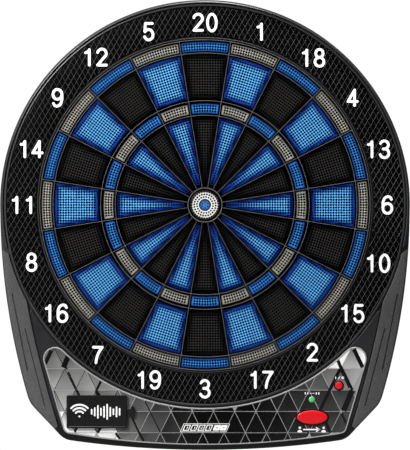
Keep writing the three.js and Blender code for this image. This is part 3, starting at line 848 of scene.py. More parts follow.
TALL = 10.0  # half the height of a digit's middle line
FLAT = 9.2  # the same for strokes that end flat on the line
STEM = [(4.7, 6.8), (3.3, 9.2), (0.5, TALL), (-2.9, 8.4), (-4.9, 4.6), (-5.4, -0.6), (-5.35, -4.1)]
SIX_STEM = curve(STEM, 6)
SEVEN_STEM = quadratic(*line((5.3, FLAT), (-1.2, 1.4), (-2.2, -FLAT)), 12)
DIGITS = {
    "0": [bow(0, 0, 5.2, TALL, 0, 360, 40)],
    "1": [line((1.4, FLAT), (1.4, -FLAT)), curve([(1.4, 9.0), (0.2, 7.0), (-1.2, 6.0), (-2.9, 5.7)])],
    "2": [joined(bow(0, 4.8, 5.2, 5.2, 168, -28), [(-5.1, -FLAT), (5.2, -FLAT)])],
    "3": [
        bow(-0.3, 5.2, 4.8, 4.8, 158, -88), bow(-0.2, -4.7, 5.3, 5.3, 92, -162), line((-1.6, 0.5), (0, 0.5)),
    ],
    "4": [line((2.4, -FLAT), (2.4, FLAT), (-5.5, -4.4), (5.6, -4.4))],
    "5": [joined([(4.3, 9.6), (-3.8, 9.6), (-4.6, 0.3)], bow(0, -3.8, 5.2, 6.2, 146, -156, 24))],
    "6": [SIX_STEM, bow(0, -4.1, 5.3, 5.9, 0, 360, 36)],
    "7": [joined([(-5.2, FLAT)], SEVEN_STEM)],
    "8": [bow(0, 5.3, 4.4, 4.7, 0, 360, 32), bow(0, -4.7, 5.3, 5.3, 0, 360, 36)],
    "9": [-SIX_STEM, bow(0, 4.1, 5.3, 5.9, 0, 360, 36)],
}
DIGIT_PITCH = 16.4
# How far some numbers sit from the even circle, in x and z.
NUDGES = {
    1: (-1.3, -0.3), 18: (0.4, -0.5), 13: (-0.9, -0.8), 10: (-0.9, -2.4), 15: (-0.9, -1.5),
    17: (-0.4, -1.6), 3: (0, -1.7), 19: (-0.4, -1.7), 7: (0, -2.9), 16: (-2.2, -1.3), 8: (0, -1.0),
    14: (-1.2, -0.6), 12: (-3.3, 0),
}
HATCH_PITCH = 6.8
HATCH_LEAN = math.radians(60)
HATCH_HALF = 0.22
HATCH_RISE = 0.3
HATCH_STEP = 0.6
HATCH_CLEAR = 0.9
HATCH_SPACING = 0.8


def number_lines(i, number):
    """The middle lines of a number's digits, upright in its place on the ring."""
    angle = math.radians(i * SECTOR)
    dx, dz = NUDGES.get(number, (0, 0))
    x, z = NUMERAL_RADIUS * math.sin(angle) + dx, NUMERAL_RADIUS * math.cos(angle) + dz
    digits = str(number)
    x -= DIGIT_PITCH * (len(digits) - 1) / 2
    return [stroke + (x + k * DIGIT_PITCH, z) for k, digit in enumerate(digits) for stroke in DIGITS[digit]]


def make_numerals():
    for i, number in enumerate(NUMBERS):
        solid = Solid()
        solid.strokes(number_lines(i, number), NUMERAL_STROKE, RING_FRONT - 0.2, RING_FRONT + 0.45)
        solid.fix(f"numeral_{number:02d}", NUMERAL_WHITE, "bull_cream", smooth=20)


def hatch_runs(lean, blocked):
    """Stretches (from, to) of the hatch lines of one lean that lie on the ring, clear of the numerals."""
    along = towards(lean)
    count = int(RING_OUTER * 2.2 / HATCH_PITCH)
    distance = np.arange(-RING_OUTER, RING_OUTER, HATCH_STEP)
    for k in range(-count, count + 1):
        foot = np.array([k * HATCH_PITCH, 0.0])
        foot = foot - along * (foot @ along)
        if length(foot) > RING_OUTER:
            continue
        points = foot + distance[:, None] * along
        radius = length(points)
        on = (radius > RING_INNER + 0.4) & (radius < RING_OUTER - 0.3)
        on[on] &= ~blocked(points[on])
        edges = np.flatnonzero(np.diff(np.concatenate([[0], on.astype(int), [0]])))
        for a, b in zip(edges[::2], edges[1::2]):
            if b - a > 2:
                yield points[a], points[b - 1]


def make_number_ring():
    b = depths("number_ring")[0]
    body = Solid()
    inner = below(RING_FRONT, (RING_INNER, 0.5), (RING_INNER + 0.35, 0.1), (RING_INNER + 0.8, 0))
    outer = below(RING_FRONT, (RING_OUTER - 0.7, 0), (RING_OUTER - 0.25, 0.15), (RING_OUTER, 0.5))
    body.turned([(RING_INNER, b), *inner, *outer, (RING_OUTER, b)], steps=240)
    body.fix("number_ring_base", RING_BLACK, "ring_black", "number_ring")

    lines = [stroke for i, number in enumerate(NUMBERS) for stroke in number_lines(i, number)]
    line_points = np.concatenate([curve_points(stroke) for stroke in lines])

    def blocked(points):
        return length(points[:, None] - line_points).min(axis=1) < NUMERAL_STROKE / 2 + HATCH_CLEAR

    leans = {"right": (HATCH_LEAN, HATCH_LIT_RIGHT), "left": (math.pi - HATCH_LEAN, HATCH_SHADED_LEFT)}
    for side, (lean, material) in leans.items():
        ribs = Solid()
        for p, q in hatch_runs(lean, blocked):
            across = square_to(unit(q - p)) * HATCH_HALF
            rise = [RING_FRONT - 0.1, RING_FRONT + HATCH_RISE, RING_FRONT - 0.1]
            a, b = (ribs.add(np.array([end - across, end, end + across]), rise) for end in (p, q))
            ribs.wall(a, b, 3)
            ribs.lids(a, b, 3)
        ribs.fix(f"number_ring_hatch_{side}", material, "ring_black", smooth=0)


def curve_points(stroke):
    """Points along a line, close enough together to measure from."""
    out = []
    for p, q in zip(stroke, stroke[1:]):
        steps = max(1, int(length(q - p) / HATCH_SPACING))
        out.append(p + (q - p) * np.linspace(0, 1, steps + 1)[:, None])
    return np.concatenate(out)


# ---- housings


def lower_deck_outline():
    """The plate behind the panel: the board's bottom edge, the wings' inner edges and the ring."""
    leg = wing_leg(0.3)[::-1]
    leg = leg[length(leg) > DECK_CLEAR + 3.2]
    corner = leg[0] + CHAMFER_NORMAL * (CHAMFER_REACH - leg[0] @ CHAMFER_NORMAL)
    side = joined([corner], leg)
    whole = silhouette(0)
    low = whole[(whole[:, 1] < -200) & (np.abs(whole[:, 0]) < corner[0] - 1)]
    tip = math.atan2(side[-1][1], side[-1][0])
    inner = arc(0, 0, DECK_CLEAR, tip, -math.pi - tip, 110)
    return joined(mirrored(side), low[np.argsort(low[:, 0])], side, inner)


def make_front_housing():
    shell = Solid()
    profile = [(0.5, SEAM), (0, SEAM + 0.5), *below(FACE, (0, 1.0), (0.35, 0.3), (1.0, 0))]
    shell.plate(silhouette(0), profile, holes=[(circle(TARGET_HOLE, 180), [(0, SEAM), (0, FACE)])])
    shell.fix("front_housing_shell", SHELL, "dark_shell", "front_housing", "front_skirt", "target_tube")

    inner = Solid()
    steps = [(237.35, 0.5), (237.7, 0.05), (238.1, 0), (238.6, 0.2), (239.9, 1.3), (240.2, 2.0)]
    crest = below(INNER_RIM, *steps)
    inner.turned([(237.3, FACE - 0.5), *crest, (240.3, FACE - 0.5)], steps=240)
    inner.fix("ring_rim", RIM, "dark_shell")

    outer = Solid()
    steps = [(240.9, 0.7), (241.2, 0.1), (241.5, 0), (242.0, 0.2), (243.1, 1.4), (243.5, 2.4)]
    crest = below(OUTER_RIM, *steps, (RIM_RADIUS, 3.6))
    profile = [(240.8, FACE - 0.5), *crest, (RIM_RADIUS, FACE - 1.2)]
    outer.turned(profile, start=90 - RIM_END, end=90 + RIM_END, steps=170)
    outer.fix("outer_rim", RIM, "dark_shell")

    deck = Solid()
    deck.plate(lower_deck_outline(), [(0, FACE - 1.2), *below(DECK, (0, 1.6), (0.4, 0.7), (1.3, 0))])
    deck.fix("lower_deck", DECK_SHELL, "dark_shell")


# ---- wings

WING_INSET = 1.2
WING_TOP = -52.0
WING_NOTCH = -58.0
WING_ELBOW = -114.0
WING_SLOPE = 0.14
WING_ACROSS = np.array([0.957, -0.29])
GROOVE_WIDTH = 1.5
GROOVES = [((229.5, -106.3), (211.6, -196.8)), ((214.1, -147.9), (190.9, -239.2))]


def wing_leg(gap=0.0):
    """The right wing's inner edge below the ring, moved inward by the gap."""
    elbow = WING_CLEAR * towards(math.asin(WING_ELBOW / WING_CLEAR))
    leg = quadratic(elbow, *line((198.6, -189.0), (172.9, -270.6)), 24) - (gap, 0)
    return leg[CHAMFER_REACH - leg @ CHAMFER_NORMAL > 3.3]


def wing_outline():
    """The right wing: down the board's flank, along the ring, then straight down to a narrow foot."""
    side = SIDE_RADIUS - WING_INSET
    top_x = RIM_RADIUS - SIDE_RADIUS + math.sqrt(side**2 - WING_TOP**2)
    turns = (math.asin(z / WING_CLEAR) for z in (WING_NOTCH, WING_ELBOW))
    inner = arc(0, 0, WING_CLEAR, *turns, 12)
    leg = wing_leg()
    whole = silhouette(WING_INSET)
    flank = whole[(whole[:, 0] > leg[-1][0]) & (whole[:, 1] < WING_TOP)]
    foot = leg[-1] + CHAMFER_NORMAL * (CHAMFER_REACH - WING_INSET - leg[-1] @ CHAMFER_NORMAL)
    return joined([foot], flank, [(top_x, WING_TOP)], inner, leg[1:], nearest=1.2)


def sloped(points):
    """Lets the wing's face fall back towards the board's flank."""
    across = np.abs(points[:, 0]) * WING_ACROSS[0] + points[:, 2] * WING_ACROSS[1] - 238
    points[:, 1] -= WING_SLOPE * np.clip(across, 0, 30) * (points[:, 1] > FACE)
    return points


def make_wings():
    for name, turn in (("right", np.array), ("left", mirrored)):
        groove = below(WING_FRONT, (0, 1.4), (0, 0.25), (0.15, 0))
        pockets = [(turn(capsule(start, end, GROOVE_WIDTH, 4)), groove) for start, end in GROOVES]
        wing = Solid()
        profile = [(0, FACE - 1.3), *below(WING_FRONT, (0, 1.1), (0.2, 0.45), (0.55, 0.1), (1.0, 0))]
        wing.plate(turn(wing_outline()), profile, pockets=pockets)
        wing.points = [sloped(part) for part in wing.points]
        wing.fix(f"wing_{name}", WING_GREY, "wing_grey", f"side_wing_{name}")


# ---- control panel

PANEL_ARC = 242.0
PANEL_TIP = 14.0
TIP_ANGLE = math.radians(44.3)
SIDE_TILT = math.radians(16.6)
PANEL_BOTTOM_RADIUS = 985.0
PANEL_BOTTOM_Z = -286.0
PANEL_FOOT_X = 167.4
PANEL_EDGE = 1.7
POWER = (159.5, -215.0)
POWER_RADIUS = 4.4
NEXT = (127.7, -252.9)
NEXT_HALF = np.array([18.2, 8.2])
LED = (127.3, -231.7)
LED_RADIUS = 3.7
LATTICE_X = -78.5
LATTICE_Z = -271.3
LATTICE_WIDE = 25.3
LATTICE_TALL = 25.4
TILE_GAP = 0.33
TILE_LEAST = 10.0
BED = PANEL_FRONT - 0.4
BED_BACK = BED - 0.05
GROUT_FROM = -96
# Printed greys across the panel, with a painted reflection that lightens the left part.
TONES_X = (-190, -150, -118, -88, -60, -35, 0, 50, 75, 100, 130, 165, 190)
TONES_HIGH = (0.11, 0.13, 0.13, 0.1, 0.048, 0.004, 0.001, 0.002, 0.014, 0.06, 0.085, 0.2, 0.48)
TONES_LOW = (0.34, 0.26, 0.18, 0.12, 0.058, 0.008, 0.001, 0.002, 0.004, 0.009, 0.026, 0.045, 0.08)
# Black bars of the printed pattern: from, to and width.
BARS = [
    ((-183.0, -173.0), (-190.4, -189.0), 4.6), ((-162.4, -179.0), (-168.8, -193.6), 6.3),
    ((-165.6, -193.6), (-152.9, -221.0), 2.4), ((-152.9, -221.0), (-149.6, -228.0), 3.0),
    ((-124.0, -209.7), (-130.0, -222.0), 2.8), ((-130.0, -221.4), (-126.0, -227.0), 4.2),
    ((-152.4, -264.5), (-155.2, -270.4), 3.0), ((-124.2, -265.5), (-127.9, -271.6), 3.0),
    ((-106.4, -271.8), (-101.0, -279.2), 3.0), ((-87.6, -252.0), (-78.4, -271.3), 2.2),
    ((-78.8, -270.6), (-73.0, -281.6), 2.9), ((-71.6, -233.7), (-52.9, -271.2), 1.2),
    ((157.8, -184.0), (162.2, -194.6), 4.0), ((161.6, -193.6), (174.9, -220.8), 4.8),
    ((177.2, -171.5), (187.8, -193.4), 4.8), ((160.6, -195.8), (148.4, -220.5), 3.8),
    ((148.4, -220.5), (136.6, -245.2), 3.4), ((175.4, -220.6), (165.0, -245.0), 6.4),
    ((163.0, -248.5), (169.4, -263.0), 2.6), ((143.8, -257.8), (149.4, -271.2), 3.4),
    ((126.7, -261.8), (121.4, -275.0), 1.6),
]


def panel_outline():
    tip = (PANEL_ARC + PANEL_TIP) * towards(TIP_ANGLE - math.pi / 2)
    foot = -math.pi / 2 + math.asin(PANEL_FOOT_X / PANEL_BOTTOM_RADIUS)
    floor = arc(0, PANEL_BOTTOM_Z + PANEL_BOTTOM_RADIUS, PANEL_BOTTOM_RADIUS, -math.pi / 2, foot, 40)
    round_tip = arc(*tip, PANEL_TIP, -SIDE_TILT, math.pi / 2 + TIP_ANGLE, 16)
    upper = arc(0, 0, PANEL_ARC, -math.pi / 2 + TIP_ANGLE, -math.pi / 2, 50)
    kept = floor[length(floor - floor[-1]) > 6.2]
    half = joined(kept, rounded_corner(kept[-1], floor[-1], round_tip[0], 6), round_tip, upper)
    return joined(half, mirrored(half)[1:-1])


def lattice_triangles():
    """Triangles of the printed pattern, anticlockwise, in rows that shift by half a step."""
    half = LATTICE_WIDE / 2
    for row in range(-1, 4):
        z0 = LATTICE_Z + row * LATTICE_TALL
        z1 = z0 + LATTICE_TALL
        for k in range(-8, 14):
            x = LATTICE_X + (row % 2) * half + k * LATTICE_WIDE
            yield line((x, z0), (x + 2 * half, z0), (x + half, z1))
            yield line((x + 2 * half, z0), (x + 3 * half, z1), (x + half, z1))


def tile_tone(middle, rng):
    """A tile's grey: set by its place, with some chance, and bright at the lower left and the upper right.
    The greys are the print's, with a painted reflection that lightens the left part.
    """
    x, z = middle
    high = float(np.interp(z, (-232, -198), (0, 1)))
    tone = high * np.interp(x, TONES_X, TONES_HIGH) + (1 - high) * np.interp(x, TONES_X, TONES_LOW)
    tone = float(tone) * rng.uniform(0.7, 1.3)
    if z < -262 and x < -96:
        tone = rng.uniform(0.7, 0.85)
    if z < -246 and x < -160:
        tone = 0.8
    if x > 150 and z > -196:
        tone = 0.85 if x > 178 or x < 168 else 0.3
    return tone


def make_panel_base(outline):
    through = [(0, TRIM_BACK), (0, BED)]
    loops = (power_loop(1.7, 48), circle(LED_RADIUS + 0.3, 32, *LED), next_loop(0.5, 72))
    base = Solid()
    edge = below(PANEL_FRONT, (0, 0.55), (0.25, 0.15), (0.55, 0), (1.0, 0), (1.3, 0.12))
    base.plate(outline, [(0, TRIM_BACK), *edge, (1.4, BED)], holes=[(loop, through) for loop in loops])
    base.fix("panel_base", PANEL_TRIM, "panel_gloss", "control_panel")


def add_tile(tiles, tile, rng):
    """One tile with a soft edge and a slight tilt. Gives its points' tones."""
    middle = tile.mean(axis=0)
    tone = tile_tone(middle, rng)
    lean = rng.uniform(-0.9, 0.9) - math.pi / 3
    drift = towards(lean) * rng.uniform(0.02, 0.045)
    tilt = np.array([rng.uniform(-1, 1), rng.uniform(-1, 1)]) * 0.008
    edge = offset(tile, 0.1)
    rings = [(tile, BED_BACK), (tile, BED + 0.14), (edge, BED + 0.22 + (edge - middle) @ tilt)]
    low, high = tiles.stack(rings)
    tiles.cap((high, edge), [], True)
    tiles.cap((low, tile), [], False)
    return [tone * t for loop, _ in rings for t in 1 + (loop - middle) @ drift]


def make_tiles(clear):
    """The tiles, with dark grout between them on the left, where only the rows have light seams, and light
    seams elsewhere."""
    rng = random.Random(7)
    tiles, grout, seams = Solid(), Solid(), Solid()
    tones = []
    for triangle in lattice_triangles():
        tile = shared_outline(clear, offset(triangle, TILE_GAP))
        if tile is None:
            continue
        tile = joined(tile, nearest=1.2)
        if len(tile) < 3 or polygon_area(tile) < TILE_LEAST:
            continue
        tones += add_tile(tiles, tile, rng)
        under = grout if tile.mean(axis=0)[0] < GROUT_FROM else seams
        under.prism(joined(shared_outline(clear, triangle), nearest=0.3), BED_BACK, BED + 0.06)
    obj = tiles.object("panel_tiles", TILES, smooth=0)
    colours = np.clip(np.array(tones), 0.001, 0.9)[:, None] * (1.0, 0.995, 0.985, 1.0)
    obj.data.attributes.new("tone", "FLOAT_COLOR", "POINT").data.foreach_set("color", colours.ravel())
    put(obj, "board", "panel_gloss")
    grout.fix("panel_grout", PANEL_BLACK, "panel_gloss", smooth=0)

    for row in range(4):
        z = LATTICE_Z + row * LATTICE_TALL
        low, high = z - TILE_GAP, z + TILE_GAP
        strip = shared_outline(clear, line((-200, low), (GROUT_FROM, low), (GROUT_FROM, high), (-200, high)))
        if strip is not None:
            seams.prism(joined(strip), BED_BACK, BED + 0.12)
    seams.fix("panel_seams", SEAM_PRINT, "panel_gloss", smooth=0)


def make_bars(clear):
    bars = Solid()
    for k, (start, end, width) in enumerate(BARS):
        start, end = line(start, end)
        across = square_to(unit(end - start)) * width / 2
        strip = shared_outline(clear, line(start + across, start - across, end - across, end + across))
        if strip is not None:
            bars.prism(joined(strip), BED, PANEL_FRONT - 0.05 - 0.02 * (k % 3))
    bars.fix("panel_bars", PANEL_BLACK, "panel_gloss", smooth=0)


def make_panel():
    outline = panel_outline()
    clear = offset(outline, PANEL_EDGE)
    make_panel_base(outline)
    make_tiles(clear)
    make_bars(clear)


# ---- controls

CAP_FLANGE = 2.2
COLLAR_EDGE = [(0, 0.4), (0.25, 0.08), (0.5, 0)]  # inset and drop
BEZEL_EDGE = [(0, 0.3), (0.2, 0.05), (0.4, 0)]


def power_loop(grow, steps):
    """The round power key's outline, grown all round."""
    return circle(POWER_RADIUS + grow, steps, *POWER)


def next_loop(grow, steps):
    """The oval next-player key's outline, grown all round."""
    return ellipse(*NEXT, *(NEXT_HALF + grow), steps)


def cap_solid(cad_node, outline, middle, dome, flange=None):
    """A domed cap, its dome given as (share of the outline, drop below the top), with its flange."""
    low, high = depths(cad_node)
    solid = Solid()
    solid.domed(outline, middle, [(1.0, low), *below(high, *dome)])
    if flange is not None:
        solid.domed(flange, middle, [(1.0, low), (1.0, low + CAP_FLANGE)])
    return solid


def key_ring(outline, bore, low, high, edge):
    """A low ring round a key, with a softened edge and bore."""
    ring = Solid()
    bore_profile = [(0, low), *below(high, (0, 0.2), (0.15, 0))]
    ring.plate(outline, [(0, low), *below(high, *edge)], holes=[(bore, bore_profile)])
    return ring


def make_controls():
    dome = [(1.0, 1.5), (0.985, 0.95), (0.95, 0.55), (0.86, 0.3), (0.6, 0.1), (0.3, 0.02), (0.05, 0)]
    cap = cap_solid("next_player_button", next_loop(0, 96), NEXT, dome, next_loop(1.8, 64))
    put(cap.object("next_player_cap", RED, 50), "next_player_key", "button_red", ["next_player_button"])

    dome = [(1.0, 1.0), (0.96, 0.45), (0.85, 0.15), (0.55, 0.03), (0.1, 0)]
    cap = cap_solid("power_button", power_loop(0, 48), POWER, dome, power_loop(1.8, 48))
    put(cap.object("power_cap", RED, 50), "power_key", "button_red", ["power_button"])

    collar = key_ring(power_loop(1.5, 64), power_loop(0.2, 64), *depths("power_collar"), COLLAR_EDGE)
    collar.fix("power_ring", COLLAR, "module_black", "power_collar")
    low, high = PANEL_FRONT - 1.0, PANEL_FRONT + 0.35
    bezel = key_ring(next_loop(1.8, 96), next_loop(0.2, 96), low, high, BEZEL_EDGE)
    bezel.fix("next_player_bezel", COLLAR, "module_black")

    dome = [(1.0, 1.3), (0.97, 0.9), (0.85, 0.45), (0.6, 0.15), (0.3, 0.03), (0.05, 0)]
    lens = cap_solid("status_led_lens", circle(LED_RADIUS, 48, *LED), LED, dome)
    lens.fix("led_dome", LENS, "led_green", "status_led_lens", smooth=60)


# ---- wireless module

FACE_MARGIN = 2.3
SIGN_STEP = 3.7
SIGN_BARS = (5, 9, 14, 8, 12, 17, 10, 6, 11, 7)
STUB_NECK = 4.0


def make_module():
    """The black block, with a plain row of sound bars and a set of wireless arcs on its sunk face."""
    b, f = depths("wireless_module")
    x0, x1, z0, z1 = sides("wireless_module")
    case = Solid()
    face = rounded_box(x0 + FACE_MARGIN, x1 - FACE_MARGIN, z0 + FACE_MARGIN, z1 - FACE_MARGIN, 0.8)
    profile = [(0, b), *below(f, (0, 0.9), (0.25, 0.3), (0.8, 0))]
    case.plate(rounded_box(x0, x1, z0, z1, 1.6), profile, pockets=[(face, below(f, (0, 0.3), (0.3, 0)))])
    case.fix("module_case", MODULE, "module_black", "wireless_module")

    mid = (z0 + z1) / 2
    x, z = x0 + 15.5, mid - 5.5
    sign = Solid()
    waves = [bow(x, z, r, r, 45, 135, 12) for r in (6.0, 10.0, 14.0)]
    sign.strokes([*waves, dot(x, z)], 2.1, f - 0.35, f - 0.12)
    for k, tall in enumerate(SIGN_BARS):
        x = x0 + 30 + k * SIGN_STEP
        sign.strokes([line((x, mid - tall / 2), (x, mid + tall / 2))], 1.8, f - 0.35, f - 0.12)
    sign.fix("module_sign", PRINT, "bull_cream", smooth=0)


def make_stub():
    """The octagonal end on a short neck at the module's side."""
    b, f = depths("module_stub")
    x0, x1, z0, z1 = sides("module_stub")
    mid = (z0 + z1) / 2
    stub = Solid()
    neck = rounded_box(x0, x0 + STUB_NECK, mid - STUB_NECK, mid + STUB_NECK, 0.6)
    stub.plate(neck, [(0, b), *below(f, (0, 0.9), (0.3, 0.6))])
    x0 += STUB_NECK - 1
    half = np.array([x1 - x0, z1 - z0]) / 2
    knob = octagon(1 / math.cos(math.pi / 8), 0, 0) * half + ((x0 + x1) / 2, mid)
    stub.plate(knob, [(0.15, b), *below(f, (0.15, 0.7), (0.5, 0.15), (1.0, 0))])
    stub.fix("module_stub_fine", MODULE, "module_black", "module_stub")


# ---- printed pictures

PRINT_BACK = PANEL_FRONT - 0.25
PRINT_FRONT = PANEL_FRONT + 0.05
MARK_LEFT, MARK_RIGHT = -29.3, 25.2
MARK_LOW, MARK_HIGH = -270.2, -260.6
MARK_SLANT = 4.2 / (MARK_HIGH - MARK_LOW)


class Print(Solid):
    """A raised print on the panel's face."""

    def draw(self, width, *lines):
        self.strokes(lines, width, PRINT_BACK, PRINT_FRONT)


def make_prints():
    """Generic pictures beside the controls: on and off, link, and next player."""
    solid = Print()
    x, z = POWER[0] + 0.4, POWER[1] + 9.2
    upright = line((x - 4.2, z - 1.1), (x - 4.2, z + 1.1))
    short = line((x - 0.9, z - 1.1), (x + 0.9, z + 1.1))
    solid.draw(0.8, upright, short, bow(x + 4.2, z, 1.1, 1.1, 0, 360, 16))

    x, z = LED[0] + 0.2, LED[1] + 7.3
    sweeps = ((-1, 130, 230), (1, -50, 50))
    waves = [bow(x + side * r, z, 1.3, 1.3, start, end, 8) for side, start, end in sweeps for r in (4, 7)]
    solid.draw(1.0, *waves, *(dot(x + k * 2.2, z) for k in (-1, 0, 1)))

    x, z = NEXT[0] - 0.6, NEXT[1] - 14.6
    for person in (x - 14.2, x + 14.2):
        solid.draw(3.0, dot(person, z + 2.0))
        shoulders = bow(person, z - 2.6, 1.9, 1.4, 0, 180, 8)
        solid.draw(1.6, shoulders, line((person - 1.9, z - 2.6), (person + 1.9, z - 2.6)))
    solid.draw(1.6, line((x - 9.5, z), (x + 9.0, z)))
    solid.draw(1.5, line((x + 5.6, z + 2.2), (x + 9.4, z), (x + 5.6, z - 2.2)))
    solid.fix("panel_pictures", PRINT, "bull_cream", smooth=0)


def slanted(x0, x1, z0, z1):
    """A box that leans to the right, as a closed line."""
    corners = [(x0, z0), (x1, z0), (x1, z1), (x0, z1), (x0, z0)]
    return line(*((x + (z - MARK_LOW) * MARK_SLANT, z) for x, z in corners))


def make_marks():
    """A plain leaning frame with four open and two full cells at the panel's bottom middle."""
    marks = Print()
    marks.draw(0.55, slanted(MARK_LEFT, MARK_RIGHT, MARK_LOW, MARK_HIGH))
    for k in range(4):
        x = MARK_LEFT + 2.4 + k * 8.8
        marks.draw(1.0, slanted(x, x + 6.2, MARK_LOW + 1.7, MARK_HIGH - 1.7))
        marks.draw(0.8, slanted(x + 2.6, x + 3.6, MARK_LOW + 3.6, MARK_HIGH - 3.6)[1:3])
    for k in range(2):
        x = MARK_LEFT + 38.4 + k * 8.0
        low, high = MARK_LOW + 2.3, MARK_HIGH - 2.3
        marks.draw(1.6, *(slanted(x + i, x + 6.0 - i, low + i, high - i) for i in (0, 1.2)))
    marks.fix("panel_marks", PRINT, "bull_cream", smooth=0)


# ---- the back

REAR_PLATE = 3.0
REAR_WALL = 2.4
BAY = (-29.0, 29.0, -259.2, -212.8)
BAY_WALL = (-30.6, 30.6, -260.8, -211.2)
COVER_LEDGE = 3.4
SCREW_HEAD = 3.9
BUMPER_RADIUS = 9.0
KEYHOLE = {"x": 80.0, "z": 150.0, "entry": 4.8, "slot": 2.4, "rise": 11.0}
GROOVE_RADII = (60, 100, 140)
GROOVE_SPAN = 78
GROOVE_ARC_WIDTH = 3.4


def middles(prefix, count):
    """The name and the middle (x, z) of each of the numbered CAD nodes."""
    for name in (f"{prefix}_{i}" for i in range(1, count + 1)):
        x0, x1, z0, z1 = sides(name)
        yield name, (x0 + x1) / 2, (z0 + z1) / 2


def facing_wall(solid):
    """Turns a solid that was drawn with its face towards -depth round to face the wall."""
    for part in solid.points:
        part[:, 1] *= -1
    return solid


def keyhole_outline(side):
    x, z, r = side * KEYHOLE["x"], KEYHOLE["z"], KEYHOLE["slot"]
    neck = math.asin(r / KEYHOLE["entry"])
    entry = arc(x, z, KEYHOLE["entry"], math.pi / 2 + neck, math.pi * 2.5 - neck, 24)
    return joined(entry, arc(x, z + KEYHOLE["rise"], r, 0, math.pi, 10))


def groove_arc(radius, start):
    """A curved groove's outline, from its start in degrees."""
    a, b = math.radians(start), math.radians(start + GROOVE_SPAN)
    steps = max(8, int(radius * (b - a) / 4))
    half = GROOVE_ARC_WIDTH / 2
    return joined(arc(0, 0, radius + half, a, b, steps), arc(0, 0, radius - half, b, a, steps))


def make_rear():
    """The rear housing: a plate with a rounded edge, wells, keyholes and stiffening grooves, and its wall."""
    bay = rounded_box(*BAY, 1.0)
    holes = [(bay, [(0, -REAR_PLATE), (0, -2.0), (COVER_LEDGE, -2.0), (COVER_LEDGE, -0.3), (3.7, 0)])]
    holes += [(keyhole_outline(side), [(0, -REAR_PLATE), (0, -0.5), (0.35, 0)]) for side in (-1, 1)]
    well = [(0, -REAR_PLATE), (0, -2.2), (2.4, -2.2), (2.4, -0.4), (2.8, 0)]
    holes += [(circle(2.0, 28, x, z), well) for _, x, z in middles("case_screw", 6)]
    seat = [(0, -1.5), (0, -0.3), (0.25, 0)]
    pockets = [(circle(BUMPER_RADIUS + 0.4, 40, x, z), seat) for _, x, z in middles("wall_bumper", 4)]
    groove = [(-0.7, -1.0), (-0.2, -0.35), (0, 0)]
    for radius in GROOVE_RADII:
        pockets += [(groove_arc(radius, start), groove) for start in (6, 96, 186, 276)]
    rear = Solid()
    edge = [(0, -REAR_PLATE), (0, -1.6), (0.4, -0.6), (1.3, 0)]
    rear.plate(silhouette(REAR_INSET), edge, holes=holes, pockets=pockets)
    wall = [(0, -depths("rear_wall")[1]), (0, 0.4 - REAR_PLATE)]
    rear.plate(silhouette(REAR_INSET), wall, holes=[(silhouette(REAR_INSET + REAR_WALL), wall)])
    tub = -depths("rear_housing")[1]
    inside = [(0, 1.6 + tub), (0, 0.4 - REAR_PLATE)]
    rear.plate(rounded_box(*BAY_WALL, 1.5), [(0, tub), (0, 0.4 - REAR_PLATE)], pockets=[(bay, inside)])
    facing_wall(rear).fix("rear_shell", SHELL, "dark_shell", "rear_housing", "rear_wall")


def make_battery_cover():
    x0, x1, z0, z1 = sides("battery_cover")
    grips = []
    for k in range(6):
        z = z1 - 9 - k * 2.6
        grips.append((rounded_box(-11 + k, 11 - k, z, z + 1.2, 0.5, 3), [(0, -0.9), (0, -0.2), (0.2, 0)]))
    cover = Solid()
    edge = [(0, -1.6), (0, -0.5), (0.3, -0.12), (0.8, 0)]
    cover.plate(rounded_box(x0, x1, z0, z1, 2.0), edge, pockets=grips)
    for x in (-16.0, 16.0):
        cover.prism(rounded_box(x - 4, x + 4, z1 - 4.9, z1 - 3.5, 0.4), -4.0, -1.5)
    facing_wall(cover).fix("battery_lid", SHELL, "dark_shell", "battery_cover")


def make_screws():
    """Pan-head case screws with a cross recess."""
    for name, x, z in middles("case_screw", 6):
        cross = []
        for quarter in range(4):
            along = towards(x * 0.37 + quarter * math.pi / 2)
            across = square_to(along)
            cross += [along * 0.55 - across * 0.5, along * 2.0 - across * 0.42, along * 2.0 + across * 0.42]
        recess = (np.array(cross) + (x, z), [(-0.1, -1.5), (0, -0.4)])
        screw = Solid()
        head = [(0, -1.9), (0, -1.0), (0.45, -0.6), (1.3, -0.4)]
        screw.plate(circle(SCREW_HEAD, 32, x, z), head, pockets=[recess])
        screw.prism(circle(1.6, 16, x, z), -depths(name)[1], -1.85)
        facing_wall(screw).fix(f"screw_{name[-1]}", STEEL, "steel", name)


def make_bumpers():
    """Soft feet with a dished face."""
    for name, x, z in middles("wall_bumper", 4):
        foot = Solid()
        dish = (circle(5.6, 40, x, z), [(-0.4, -0.35), (0, -0.05), (0.2, 0)])
        edge = [(0, -1.2), (0, -0.6), (0.25, -0.2), (0.8, 0)]
        foot.plate(circle(BUMPER_RADIUS, 48, x, z), edge, pockets=[dish])
        facing_wall(foot).fix(f"foot_{name[-1]}", RUBBER, "rubber", name)


def paint_cad():
    """Looks for the hidden CAD pieces that are shown as they are."""
    looks = {
        "rubber_mat": RUBBER, "contact_membrane": FILM, "backing_board": BOARD, "button_pad": RUBBER,
        "main_circuit": CIRCUIT, "ribbon_tail": FILM, "battery_contact_left": STEEL,
        "battery_contact_right": STEEL, "battery_1": SLEEVE, "battery_2": SLEEVE, "battery_3": SLEEVE,
    }
    for name, look in looks.items():
        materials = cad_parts[name].data.materials
        materials.clear()
        materials.append(look)


# ---- stage


